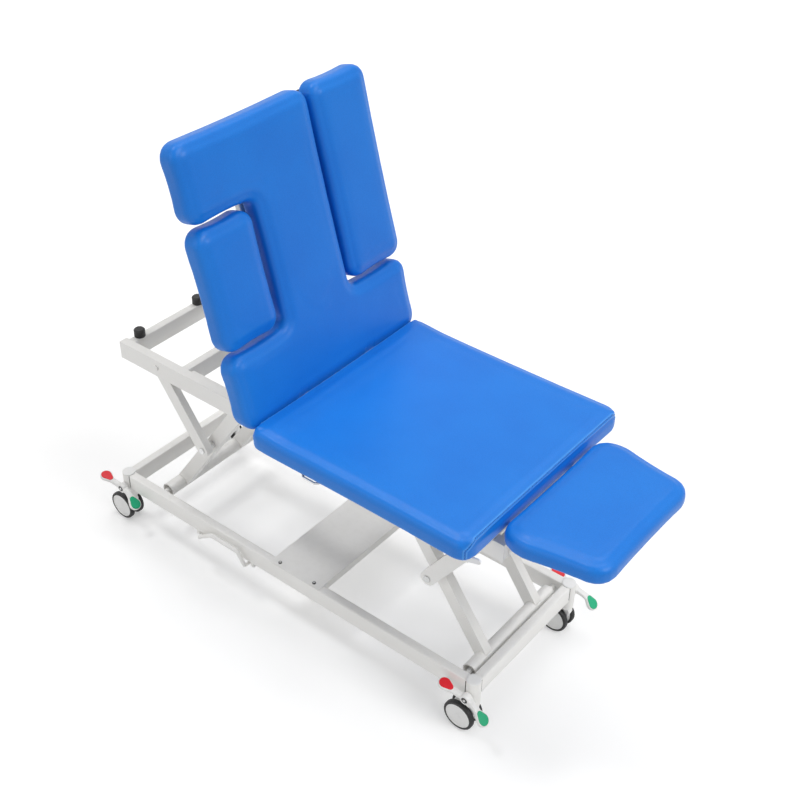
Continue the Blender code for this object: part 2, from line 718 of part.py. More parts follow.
def make_base(table):
    """Side rails with the lift's spindles, end frames with the corner posts, and the tray."""
    for side, sign in SIDES.items():
        rail = tube_x(-POST_X, POST_X, sign * POST_Y, BASE_RAIL_Z, RAIL_WIDTH, RAIL_HEIGHT, RAIL_WALL)
        rail = cut(rail, *[post_cutter(x, sign * POST_Y) for x in (-POST_X, POST_X)])
        reach = DRIVEN_END if sign > 0 else TORSION_END
        extras = [spindle(HEAD_PIVOT_X, sign, reach), spindle(FOOT_PIVOT_X, sign, TORSION_END)]
        if sign < 0:
            extras += foot_bar_clips()
        table.piece("base_rail_" + side, "base", "powder_coat", join(rail, *extras))
    for end, x in (("head", -POST_X), ("foot", POST_X)):
        rail = tube_y(-POST_Y, POST_Y, x, BASE_RAIL_Z, RAIL_WIDTH, RAIL_HEIGHT, RAIL_WALL)
        posts, bores = [], []
        for sign in SIDES.values():
            place = Matrix.Translation((x, sign * POST_Y, 0))
            posts.append(turned(solid_profile(POST_RADIUS, POST_BOTTOM, POST_TOP), place, POST_STEPS))
            bore = solid_profile(BRAKE_BAR_RADIUS + PIVOT_CLEARANCE, -2 * POST_RADIUS, 2 * POST_RADIUS)
            bores.append(spun_y(bore, x, BRAKE_BAR_Z, sign * POST_Y, FINE_STEPS))
        table.piece("base_end_" + end, "base", "powder_coat", cut(join(rail, *posts), *bores))
    make_tray(table)


def make_tray(table):
    """The sheet-metal tray with its edge flanges and the screws that hold it to the rails."""
    low = BASE_RAIL_TOP + GAP
    high = low + TRAY_SHEET
    flange_y = RAIL_INNER_Y - GAP
    extras = [box((x0, -flange_y, high - TRAY_FLANGE), (x0 + TRAY_SHEET, flange_y, high - TRAY_SHEET / 2))
              for x0 in (TRAY_HEAD_X + WELD, TRAY_FOOT_X - TRAY_SHEET - WELD)]
    for x in (TRAY_HEAD_X + TRAY_SCREW_INSET, TRAY_FOOT_X - TRAY_SCREW_INSET):
        for sign in SIDES.values():
            place = Matrix.Translation((x, sign * POST_Y, 0))
            screw = solid_profile(SCREW_RADIUS, high - WELD, high + SCREW_HEAD)
            extras.append(turned(screw, place, FINE_STEPS))
    sheet = box((TRAY_HEAD_X, -TRAY_HALF_WIDTH, low), (TRAY_FOOT_X, TRAY_HALF_WIDTH, high))
    table.piece("tray", "base", "powder_coat", join(sheet, *extras))


def pedal_solids(x, sign):
    """One brake rocker: a hub on the brake bar, two bent arms and two pads."""
    middle = sign * (POST_Y + (PEDAL_INNER + PEDAL_OUTER) / 2)
    place = Matrix.Translation((x, middle, BRAKE_BAR_Z)) @ SIDE_VIEW
    width = PEDAL_OUTER - PEDAL_INNER
    half = PEDAL_ARM_THICK / 2
    solids = [turned(solid_profile(PEDAL_HUB_RADIUS, -width / 2, width / 2), place, FINE_STEPS)]
    pads = ((LOCK_PAD_X, LOCK_PAD_Z, LOCK_PAD_TILT), (FREE_PAD_X, FREE_PAD_Z, FREE_PAD_TILT))
    for pad_x, pad_z, tilt in pads:
        knee = (pad_x * PEDAL_KNEE, pad_z * PEDAL_KNEE / 2)
        solids.append(prism([link_outline((0, 0), knee, half, half, 4)], width - 2 * HUB_RECESS, place))
        outer = link_outline(knee, (pad_x, pad_z), half, half, 4)
        solids.append(prism([outer], width - 3 * HUB_RECESS, place))
        way = math.copysign(1, pad_x)
        neck = (way * (PAD_NECK_RADIUS - PAD_LENGTH / 2), 0)
        end = (way * (PAD_LENGTH / 2 - PAD_RADIUS), 0)
        drop = link_outline(neck, end, PAD_NECK_RADIUS, PAD_RADIUS, 6)
        seat = (x + pad_x, middle + sign * PAD_OUT, BRAKE_BAR_Z + pad_z)
        along, up = (math.cos(tilt), 0, -math.sin(tilt)), (math.sin(tilt), 0, math.cos(tilt))
        solids.append(prism([drop], PAD_THICK, frame(seat, along, (0, 1, 0), up)))
    return solids


def make_pedals(table):
    """The two brake bars with a rocker pedal at each end."""
    for end, x in (("head", -POST_X), ("foot", POST_X)):
        reach = POST_Y + PEDAL_OUTER - 2 * HUB_RECESS
        bar = spun_y(solid_profile(BRAKE_BAR_RADIUS, -reach, reach), x, BRAKE_BAR_Z, 0, 6)
        solids = [solid for sign in SIDES.values() for solid in pedal_solids(x, sign)]
        table.piece(end + "_brake_pedals", end + "_pedals", "pedal_plastic", join(bar, *solids))


def make_caster(table, corner, sx, sy):
    """One swivelling twin-wheel caster."""
    x, y = sx * POST_X, sy * POST_Y
    axle_x = x - CASTER_TRAIL
    stem_top = POST_BOTTOM - GAP
    outline = link_outline((axle_x, WHEEL_RADIUS), (x, FORK_TOP_Z), HOUSING_RADIUS, STEM_RADIUS,
                           ROUND_STEPS // 2)
    housing = prism([outline], 2 * HOUSING_HALF, at_y(y))
    place = Matrix.Translation((x, y, 0))
    stem = turned(solid_profile(STEM_RADIUS, 2 * WHEEL_RADIUS + 2 * GAP, stem_top), place)
    drill = solid_profile(AXLE_RADIUS + PIVOT_CLEARANCE, -WHEEL_INNER, WHEEL_INNER)
    bore = spun_y(drill, axle_x, WHEEL_RADIUS, y)
    table.piece("caster_" + corner, "swivel_" + corner, "grey_plastic", cut(join(housing, stem), bore))
    disc, rim = WHEEL_OUTER - HUB_RECESS, RIM_RADIUS
    shoulder = (WHEEL_OUTER - WHEEL_INNER) / 4
    half = [(0, disc), (rim - HUB_RECESS, disc), (rim, WHEEL_OUTER),
            (WHEEL_RADIUS - shoulder / 2, WHEEL_OUTER),
            (WHEEL_RADIUS, WHEEL_OUTER - shoulder), (WHEEL_RADIUS, WHEEL_INNER + shoulder),
            (WHEEL_RADIUS - shoulder / 2, WHEEL_INNER), (AXLE_RADIUS, WHEEL_INNER)]
    profile = half + [(radius, -height) for radius, height in reversed(half)]
    table.piece("wheels_" + corner, "wheels_" + corner, "rubber", spun_y(profile, axle_x, WHEEL_RADIUS, y))


def make_torsion(table, end, x, driven):
    """A torsion tube of the lift; the driven one carries the slotted lever on its far end."""
    far_end = DRIVEN_END if driven else TORSION_END
    hollow = TORSION_RADIUS - TORSION_WALL
    profile = [(TORSION_RADIUS, -TORSION_END), (TORSION_RADIUS, far_end),
               (hollow, far_end), (hollow, -TORSION_END)]
    tube = spun_y(profile, x, BASE_PIVOT_Z, ring=True)
    if driven:
        tube = join(tube, lever_solid())
    table.piece(end + "_torsion_tube", end + "_arms", "powder_coat", tube)


def make_half_scissor(table, end, base_x, pin_x, roller_x):
    """One end's long arms with their rollers, its short struts and the pins between them."""
    base, pin = (base_x, BASE_PIVOT_Z), (pin_x, PIN_Z)
    roller, upper = (roller_x, UPPER_PIVOT_Z), (base_x, UPPER_PIVOT_Z)
    for side, sign in SIDES.items():
        arm_y = sign * (ARM_INNER + ARM_OUTER) / 2
        hole = circle(*pin, PIN_RADIUS + GAP, FINE_STEPS)
        outline = link_outline(base, roller, ARM_HALF_WIDTH, ARM_HALF_WIDTH)
        arm = prism([outline, hole], ARM_OUTER - ARM_INNER, at_y(arm_y))
        seat = spun_y(solid_profile(TORSION_RADIUS + GAP, -DRIVEN_END, DRIVEN_END), base_x, BASE_PIVOT_Z)
        arm = join(cut(arm, seat), roller_solid(sign, roller))
        table.piece(f"{end}_lift_arm_{side}", end + "_arms", "powder_coat", arm)
        strut_y = sign * (STRUT_INNER + STRUT_OUTER) / 2
        bores = [circle(*pin, PIN_RADIUS + PIVOT_CLEARANCE, FINE_STEPS),
                 circle(*upper, BOLT_RADIUS + PIVOT_CLEARANCE, FINE_STEPS)]
        outline = link_outline(pin, upper, STRUT_HALF_WIDTH, STRUT_HALF_WIDTH)
        strut = prism([outline, *bores], STRUT_OUTER - STRUT_INNER, at_y(strut_y))
        table.piece(f"{end}_strut_{side}", end + "_struts", "powder_coat", strut)
        table.piece(f"{end}_pin_{side}", end + "_arms", "zinc_steel", pin_solid(sign, pin))


def pin_solid(sign, centre):
    """The pin that joins a strut to its arm, with head, spacer collar and nut."""
    head, nut = STRUT_OUTER + GAP, ARM_INNER - GAP
    collar = (ARM_OUTER + GAP, STRUT_INNER - GAP)
    profile = [(0, head + PIN_HEAD), (PIN_HEAD_RADIUS, head + PIN_HEAD), (PIN_HEAD_RADIUS, head),
               (PIN_RADIUS, head),
               (PIN_RADIUS, collar[1]), (SPACER_RADIUS, collar[1]), (SPACER_RADIUS, collar[0]),
               (PIN_RADIUS, collar[0]), (PIN_RADIUS, nut), (PIN_HEAD_RADIUS, nut),
               (PIN_HEAD_RADIUS, nut - 2 * PIN_HEAD), (0, nut - 2 * PIN_HEAD)]
    return spun_y([(r, sign * y) for r, y in profile], *centre, steps=FINE_STEPS)


def roller_solid(sign, centre):
    """The roller on an arm's upper end, with its neck."""
    start = ARM_OUTER + ROLLER_NECK
    end = start + ROLLER_WIDTH
    inside = (ARM_INNER + ARM_OUTER) / 2
    profile = [(0, end), (ROLLER_RADIUS, end), (ROLLER_RADIUS, start), (BOLT_RADIUS, start),
               (BOLT_RADIUS, inside), (0, inside)]
    return spun_y([(r, sign * y) for r, y in profile], *centre)


def lever_solid():
    """The slotted lever on the head torsion tube."""
    pivot = Vector((HEAD_PIVOT_X, BASE_PIVOT_Z))
    up = Vector((math.sin(DRIVE_LEAN), math.cos(DRIVE_LEAN)))
    slot_radius = BOLT_RADIUS + LEVER_SLOT_CLEARANCE
    slot = link_outline(pivot + LEVER_SLOT_START * up, pivot + LEVER_SLOT_END * up, slot_radius, slot_radius)
    outline = link_outline(pivot, pivot + LEVER_TIP * up, LEVER_HUB_RADIUS, LEVER_TIP_RADIUS)
    hole = circle(*pivot, TORSION_RADIUS - WELD, ROUND_STEPS)
    return prism([outline, hole, slot], LEVER_THICK, at_y(DRIVE_Y))


def make_lift_drive(table):
    """The electric spindle drive that pulls the lever, and its rod with the fork."""
    nose, throat, back = DRIVE_PIN_X - FORK_NOSE, DRIVE_PIN_X + FORK_DEPTH, DRIVE_PIN_X + FORK_BACK
    wide, thin = FORK_WIDTH / 2, FORK_SLOT / 2
    fork = [(nose, DRIVE_Y - wide), (back, DRIVE_Y - wide), (back, DRIVE_Y + wide), (nose, DRIVE_Y + wide),
            (nose, DRIVE_Y + thin), (throat, DRIVE_Y + thin), (throat, DRIVE_Y - thin),
            (nose, DRIVE_Y - thin)]
    yoke = prism([fork], FORK_HEIGHT, Matrix.Translation((0, 0, DRIVE_Z)))
    pin_reach = wide + WELD
    bolt = solid_profile(BOLT_RADIUS, -pin_reach, pin_reach)
    pin = spun_y(bolt, DRIVE_PIN_X, DRIVE_Z, DRIVE_Y, FINE_STEPS)
    bar = spun_x(solid_profile(ROD_RADIUS, throat + BOLT_HEAD, throat + ROD_LENGTH), DRIVE_Y, DRIVE_Z)
    table.piece("lift_rod", "lift_rod", "zinc_steel", join(yoke, pin, bar))
    bore = ROD_RADIUS + PIVOT_CLEARANCE
    stop = DRIVE_TUBE_FOOT_X - DRIVE_BORE_STOP
    tube = [(0, DRIVE_TUBE_FOOT_X), (DRIVE_TUBE_RADIUS, DRIVE_TUBE_FOOT_X),
            (DRIVE_TUBE_RADIUS, DRIVE_TUBE_HEAD_X), (bore, DRIVE_TUBE_HEAD_X), (bore, stop), (0, stop)]
    body = join(spun_x(tube, DRIVE_Y, DRIVE_Z), *drive_motor())
    table.piece("lift_actuator", "base", "dark_plastic", body)


def drive_motor():
    """The drive's gearbox and motor, and the foot that it stands on over the tray."""
    motor_z = DRIVE_Z + DRIVE_TUBE_RADIUS + GAP + MOTOR_RADIUS
    low_x = DRIVE_TUBE_FOOT_X - WELD
    high_x = low_x + GEARBOX_LENGTH
    bottom = DRIVE_Z - DRIVE_TUBE_RADIUS - WELD
    gearbox = box((low_x, DRIVE_Y - GEARBOX_HALF_WIDTH, bottom),
                  (high_x, DRIVE_Y + GEARBOX_HALF_WIDTH, motor_z + MOTOR_RADIUS + WELD))
    can = solid_profile(MOTOR_RADIUS, DRIVE_TUBE_FOOT_X - MOTOR_LENGTH, DRIVE_TUBE_FOOT_X)
    motor = spun_x(can, DRIVE_Y, motor_z)
    tray_top = BASE_RAIL_TOP + GAP + TRAY_SHEET
    foot = box((low_x + DRIVE_FOOT_START, DRIVE_Y - DRIVE_TUBE_RADIUS, tray_top + GAP),
               (high_x - WELD, DRIVE_Y + DRIVE_TUBE_RADIUS, bottom + WELD))
    return [gearbox, motor, foot]


def make_upper_frame(table):
    """Channel rails open below with roller guides and strut bolts, cross tubes and rubber bumpers."""
    body = "upper_frame"
    half, top, wall = RAIL_WIDTH / 2, RAIL_HEIGHT / 2, RAIL_WALL
    channel = [(-half, -top), (-half + wall, -top), (-half + wall, top - wall), (half - wall, top - wall),
               (half - wall, -top), (half, -top), (half, top), (-half, top)]
    length = UPPER_FOOT_X - UPPER_HEAD_X
    for side, sign in SIDES.items():
        centre = ((UPPER_FOOT_X + UPPER_HEAD_X) / 2, sign * UPPER_RAIL_Y, UPPER_RAIL_Z)
        place = Matrix.Translation(centre) @ ALONG_X
        near, far = sorted((sign * UPPER_RAIL_INNER, sign * UPPER_RAIL_OUTER))
        extras = [box((low, near + WELD, UPPER_RAIL_TOP - RAIL_HEIGHT + END_CAP),
                      (low + END_CAP, far - WELD, UPPER_RAIL_TOP - WELD))
                  for low in (UPPER_HEAD_X + END_CAP, UPPER_FOOT_X - 2 * END_CAP)]
        extras += [guide_solid(sign, x) for x in (HEAD_GUIDE_X, FOOT_GUIDE_X)]
        extras += [pivot_bolt(sign, x) for x in (HEAD_PIVOT_X, FOOT_PIVOT_X)]
        rail = join(prism([channel], length, place), *extras)
        table.piece("upper_rail_" + side, body, "powder_coat", rail)
        low = UPPER_RAIL_TOP + GAP
        bumper = [(0, low), (BUMPER_RADIUS, low), (BUMPER_RADIUS, BUMPER_TOP - BUMPER_ROUND),
                  (BUMPER_RADIUS - BUMPER_ROUND, BUMPER_TOP), (0, BUMPER_TOP)]
        spot = Matrix.Translation((HEAD_TUBE_X, sign * BUMPER_Y, 0))
        table.piece("rubber_bumper_" + side, body, "rubber", turned(bumper, spot))
    reach = UPPER_RAIL_INNER - GAP
    for end, x in (("head", HEAD_TUBE_X), ("mid", MID_TUBE_X), ("foot", FOOT_TUBE_X)):
        tube = tube_y(-reach, reach, x, UPPER_RAIL_Z, RAIL_WIDTH, RAIL_HEIGHT, RAIL_WALL)
        table.piece("upper_cross_" + end, body, "powder_coat", tube)


def guide_solid(sign, low_x):
    """A channel on the rail's inner face in which an arm's roller runs."""
    web, lip = UPPER_RAIL_INNER + WELD, GUIDE_FLANGE_END
    back = UPPER_RAIL_INNER - GUIDE_WEB
    inner, outer = GUIDE_HALF, GUIDE_HALF + GUIDE_WEB
    section = [(web, -outer), (web, outer), (lip, outer), (lip, inner),
               (back, inner), (back, -inner), (lip, -inner), (lip, -outer)]
    place = Matrix.Translation((low_x + GUIDE_LENGTH / 2, 0, UPPER_PIVOT_Z)) @ ALONG_X
    return prism([[(sign * y, z) for y, z in section]], GUIDE_LENGTH, place)


def pivot_bolt(sign, x):
    """The bolt through an upper rail on which a strut turns."""
    head, nut = UPPER_RAIL_OUTER - WELD, UPPER_RAIL_INNER + WELD
    profile = [(0, head + BOLT_HEAD), (BOLT_HEAD_RADIUS, head + BOLT_HEAD), (BOLT_HEAD_RADIUS, head),
               (BOLT_RADIUS, head), (BOLT_RADIUS, nut), (BOLT_HEAD_RADIUS, nut),
               (BOLT_HEAD_RADIUS, nut - BOLT_HEAD), (0, nut - BOLT_HEAD)]
    return spun_y([(r, sign * y) for r, y in profile], x, UPPER_PIVOT_Z, steps=FINE_STEPS)


def make_seat(table):
    """Welded sub-frame, board and cushion of the fixed seat."""
    body = "upper_frame"
    solids = [*bearers(), *seat_tubes(), *hinge_plates(), *hinge_pins(), *gas_ears(), *handle_clips()]
    table.piece("seat_frame", body, "powder_coat", join(*solids, latch_stud()))
    half = SEAT_HALF_WIDTH - BOARD_INSET
    board = box((SEAT_HEAD_X + BOARD_INSET, -half, BOARD_TOP - BOARD_THICK),
                (SEAT_FOOT_X - BOARD_INSET, half, BOARD_TOP))
    table.piece("seat_board", body, "board", board)
    corners = rectangle(SEAT_HEAD_X, -SEAT_HALF_WIDTH, SEAT_FOOT_X, SEAT_HALF_WIDTH)
    outline = rounded([(x, y, CORNER_RADIUS) for x, y in corners], DRAW_IN)
    pad = cushion(outline, CUSHION_THICK, Matrix.Translation((0, 0, SEAT_UNDER)))
    table.piece("seat_cushion", body, "leatherette", pad)


def bearers():
    """The tubes across the upper rails that carry the seat."""
    middle = (BEARER_TOP + BEARER_BOTTOM) / 2
    return [tube_y(-BEARER_HALF_LENGTH, BEARER_HALF_LENGTH, x, middle, BEARER_WIDTH,
                   BEARER_TOP - BEARER_BOTTOM, SUBFRAME_WALL) for x in BEARER_X]


def seat_tubes():
    """The two tubes along the seat."""
    z = SUBFRAME_TOP - SUBFRAME_HEIGHT / 2
    y = SEAT_TUBE_INNER + SUBFRAME_WIDTH / 2
    return [tube_x(SEAT_HEAD_X + HINGE_EYE, SEAT_FOOT_X - WELD, sign * y, z, SUBFRAME_WIDTH,
                   SUBFRAME_HEIGHT, SUBFRAME_WALL) for sign in SIDES.values()]


def hinge_plates():
    """The seat's hinge plates for the backrest and for the leg section."""
    plates = []
    for sign in SIDES.values():
        place = at_y(sign * (HINGE_PLATE_INNER + HINGE_PLATE / 2))
        knee = (BACK_HINGE_X, SUBFRAME_BOTTOM + HINGE_EYE)
        upright = link_outline((BACK_HINGE_X, BACK_HINGE_Z), knee, HINGE_EYE, HINGE_EYE)
        plates.append(prism([upright], HINGE_PLATE, place))
        strip = rectangle(BACK_HINGE_X, SUBFRAME_BOTTOM + WELD, SEAT_HEAD_X + HINGE_LEG, SUBFRAME_TOP - WELD)
        plates.append(prism([strip], HINGE_PLATE - WELD / 2, place))
        tail, eye = (LEG_HINGE_X - LEG_PLATE_LENGTH, LEG_HINGE_Z), (LEG_HINGE_X, LEG_HINGE_Z)
        lug = link_outline(tail, eye, HINGE_EYE - WELD, HINGE_EYE - WELD)
        plates.append(prism([lug], HINGE_PLATE, place))
    return plates


def hinge_pin(sign, x, z, inner, outer):
    """A hinge pin with a head at its outer end."""
    profile = [(0, inner), (HINGE_PIN, inner), (HINGE_PIN, outer), (HINGE_HEAD, outer),
               (HINGE_HEAD, outer + SCREW_HEAD), (0, outer + SCREW_HEAD)]
    return spun_y([(r, sign * y) for r, y in profile], x, z, steps=FINE_STEPS)


def hinge_pins():
    """The pins on which the backrest and the leg section turn."""
    plate_outer = HINGE_PLATE_INNER + HINGE_PLATE
    arm_outer = plate_outer + GAP + LEG_ARM_THICK + GAP
    back_inner = BACK_PLATE_INNER - SCREW_HEAD
    leg_inner = HINGE_PLATE_INNER + WELD
    return [pin for sign in SIDES.values() for pin in (
        hinge_pin(sign, BACK_HINGE_X, BACK_HINGE_Z, back_inner, plate_outer - WELD),
        hinge_pin(sign, LEG_HINGE_X, LEG_HINGE_Z, leg_inner, arm_outer))]


def gas_ears():
    """The ears under the first bearer and the pin between them that holds the gas spring."""
    ear_y = GAS_EYE_HALF + GAP + GAS_EAR / 2
    top = BEARER_BOTTOM + WELD
    solids = [spun_y(solid_profile(HINGE_PIN, -ear_y, ear_y), GAS_FOOT_X, GAS_FOOT_Z, steps=FINE_STEPS)]
    for sign in SIDES.values():
        foot = (GAS_FOOT_X, GAS_FOOT_Z)
        outline = link_outline(foot, (BEARER_X[0], top - GAS_EAR_RADIUS), GAS_EAR_RADIUS, GAS_EAR_RADIUS, 8)
        solids.append(prism([outline], GAS_EAR, at_y(sign * ear_y)))
    return solids


def handle_clips():
    """The strip and the two blocks under the board between which the release handle turns."""
    x0, x1 = HANDLE_X - HANDLE_SPAN / 2, HANDLE_X + HANDLE_SPAN / 2
    inner = 2 * HANDLE_RADIUS
    top = BOARD_TOP - BOARD_THICK - GAP
    y0, y1 = HANDLE_PIVOT_Y - inner, HANDLE_PIVOT_Y + inner
    foot = box((x0 - 2 * inner, y0, BEARER_TOP - 2 * WELD), (x0 - inner - GAP, y1, top))
    arm = box((x0 - 2 * inner + WELD, y0 + WELD, top - CLIP_BAR),
              (x1 + 2 * inner - WELD, y1 - WELD, top - WELD))
    end = box((x1 + inner + GAP, y0, HANDLE_PIVOT_Z - HANDLE_RADIUS), (x1 + 2 * inner, y1, top))
    return [foot, arm, end]


def latch_stud():
    """The stud on the last bearer's near end on which the leg latch turns."""
    end = -BEARER_HALF_LENGTH
    profile = solid_profile(LATCH_STUD, end - LATCH_THICK - 2 * GAP, end + BEARER_WIDTH)
    post = spun_y(profile, LATCH_X, LATCH_Z, steps=FINE_STEPS)
    web = box((LATCH_X - LATCH_STUD, end + WELD, BEARER_BOTTOM + WELD),
              (LATCH_X + LATCH_STUD, end + BEARER_WIDTH - WELD, BEARER_TOP - WELD))
    return join(post, web)


def back_outline(inset, corner, inner, draw_in=0.0):
    """The outline of the backrest cushion or its board, across and up the slope."""
    near, far = -SEAT_HALF_WIDTH + inset, SEAT_HALF_WIDTH - inset
    foot_top, arm_low = BACK_FOOT_LENGTH - inset, ARM_REST_START + inset
    column = (COLUMN_NEAR + inset, COLUMN_FAR - inset)
    end = BACK_LENGTH - inset
    return rounded([(near, inset, corner), (far, inset, corner), (far, foot_top, corner),
                    (column[1], foot_top, inner), (column[1], end, corner), (near, end, corner),
                    (near, arm_low, corner), (column[0], arm_low, inner), (column[0], foot_top, inner),
                    (near, foot_top, corner)], draw_in)


def make_backrest(table):
    """Welded frame, board and cushion of the backrest."""
    body = "backrest"
    solids = [*back_tubes(), *back_bars(), *back_hinge_arms(), *gas_head_ear()]
    solids += wing_ears(-1, NEAR_WING_END) + wing_ears(1, BACK_LENGTH)
    table.piece("back_frame", body, "powder_coat", join(*solids))
    outline = back_outline(BOARD_INSET / 2, CORNER_RADIUS, INNER_CORNER)
    sheet = Matrix.Translation(-(BOARD_DEPTH + BOARD_THICK / 2) * BACK_OUT) @ BACK_FACE
    table.piece("back_board", body, "board", prism([outline], BOARD_THICK, sheet))
    pad = cushion(back_outline(0, CORNER_RADIUS, INNER_CORNER, DRAW_IN), CUSHION_THICK,
                  Matrix.Translation(-CUSHION_THICK * BACK_OUT) @ BACK_FACE)
    table.piece("back_cushion", body, "leatherette", pad)


def back_tubes():
    """The two tubes up the backrest."""
    middle = TUBE_DEPTH + SUBFRAME_HEIGHT / 2
    section = tube_section(SUBFRAME_WIDTH, SUBFRAME_HEIGHT, SUBFRAME_WALL)
    tubes = []
    for sign in SIDES.values():
        y = sign * (BACK_TUBE_INNER + SUBFRAME_WIDTH / 2)
        place = Matrix.Translation(back_point(y, BACK_TUBE_LENGTH / 2, -middle) - BACK_CORNER) @ BACK_CROSS
        tubes.append(prism(section, BACK_TUBE_LENGTH - 2 * GAP, place))
    return tubes


def back_bars():
    """The bars between the backrest's tubes."""
    middle = TUBE_DEPTH + SUBFRAME_HEIGHT / 2
    section = tube_section(SUBFRAME_WIDTH, SUBFRAME_HEIGHT - 2 * WELD, SUBFRAME_WALL)[:1]
    reach = BACK_TUBE_INNER + WELD
    return [prism(section, 2 * reach, Matrix.Translation(back_point(0, s, -middle) - BACK_CORNER) @ BACK_SIDE)
            for s in BACK_BARS]


def back_hinge_arms():
    """The arms that reach from the backrest's tubes to its hinge pins."""
    arms = []
    pivot = (-BACK_HINGE_DROP, -BACK_HINGE_DEPTH)
    low = -TUBE_DEPTH - SUBFRAME_HEIGHT
    for sign in SIDES.values():
        side = back_at_y(sign * (BACK_PLATE_INNER + HINGE_PLATE / 2))
        lug = link_outline(pivot, (pivot[0], low + HINGE_EYE), HINGE_EYE, HINGE_EYE)
        eye = prism([lug], HINGE_PLATE, side)
        strip = rectangle(pivot[0], low + WELD, HINGE_LEG, -TUBE_DEPTH - WELD)
        leg = prism([strip], HINGE_PLATE - WELD / 2, side)
        hole = prism([circle(*pivot, HINGE_PIN + PIVOT_CLEARANCE, FINE_STEPS)], 3 * HINGE_PLATE, side)
        arms.append(cut(join(eye, leg), hole))
    return arms


def gas_head_ear():
    """The ear on the backrest's lower bar that the gas spring's rod ends at."""
    ear_y = GAS_EYE_HALF + GAP + GAS_EAR / 2
    bar_low = -TUBE_DEPTH - SUBFRAME_HEIGHT + 2 * WELD
    bar_s = BACK_BARS[0]
    side = back_at_y(-ear_y)
    ends = ((GAS_HEAD_S, -GAS_HEAD_DEPTH), (bar_s, -GAS_HEAD_DEPTH))
    arm = prism([link_outline(*ends, GAS_EAR_RADIUS, GAS_EAR_RADIUS, 8)], GAS_EAR, side)
    half = GAS_EAR_RADIUS - WELD
    block = prism([rectangle(bar_s - half, -GAS_HEAD_DEPTH, bar_s + half, bar_low)], GAS_EAR - WELD, side)
    head = back_point(0, GAS_HEAD_S, -GAS_HEAD_DEPTH)
    profile = solid_profile(HINGE_PIN, -ear_y - GAS_EAR, -ear_y + GAS_EAR / 4)
    stud = spun_y(profile, head.x, head.z, steps=FINE_STEPS)
    return [arm, block, stud]


def wing_stations(end):
    """Where a wing's two hinge ears stand along the slope."""
    start = BACK_FOOT_LENGTH + WING_GAP
    return (start + WING_EAR_INSET, min(end, BACK_TUBE_LENGTH) - WING_EAR_INSET)


def wing_ears(sign, end):
    """The ears on a backrest tube that carry a wing's hinge rod."""
    pivot = (-sign * WING_PIVOT_Y, -WING_PIVOT_DEPTH)
    root = (-sign * (BACK_TUBE_OUTER + WING_EAR_RADIUS - 4 * WELD), -WING_PIVOT_DEPTH)
    outline = link_outline(root, pivot, WING_EAR_RADIUS, WING_EAR_RADIUS, 6)
    bore = circle(*pivot, WING_ROD_RADIUS + PIVOT_CLEARANCE, FINE_STEPS)
    return [prism([outline, bore], WING_EAR, back_at_s(s)) for s in wing_stations(end)]


def make_wing(table, side, sign, inner, end):
    """A hinged wing cushion with its board and the rod and arms that it turns on."""
    body = side + "_wing"
    start = BACK_FOOT_LENGTH + WING_GAP
    low, high = sorted((sign * inner, sign * SEAT_HALF_WIDTH))
    outline = rounded([(y, s, CORNER_RADIUS) for y, s in rectangle(low, start, high, end)], DRAW_IN)
    pad = cushion(outline, CUSHION_THICK, Matrix.Translation(-CUSHION_THICK * BACK_OUT) @ BACK_FACE)
    table.piece(side + "_wing_cushion", body, "leatherette", pad)
    inset = BOARD_INSET / 2
    panel = [rectangle(low + inset, start + inset, high - inset, end - inset)]
    sheet = Matrix.Translation(-(BOARD_DEPTH + BOARD_THICK / 2) * BACK_OUT) @ BACK_FACE
    table.piece(side + "_wing_board", body, "board", prism(panel, BOARD_THICK, sheet))
    pivot = (-sign * WING_PIVOT_Y, -WING_PIVOT_DEPTH)
    stations = wing_stations(end)
    half = WING_EAR_RADIUS
    arms = []
    for s, outward in zip(stations, (-1, 1)):
        block = rectangle(pivot[0] - half, pivot[1], pivot[0] + half, -TUBE_DEPTH)
        arms.append(prism([block], WING_EAR, back_at_s(s + outward * (WING_EAR + 2 * GAP))))
    place = back_at_s(stations[0]) @ Matrix.Translation((*pivot, 0))
    span = stations[1] - stations[0]
    profile = solid_profile(WING_ROD_RADIUS, -WING_ROD_OVERHANG, span + WING_ROD_OVERHANG)
    bar = turned(profile, place, FINE_STEPS)
    table.piece(side + "_wing_hinge", body, "zinc_steel", join(bar, *arms))


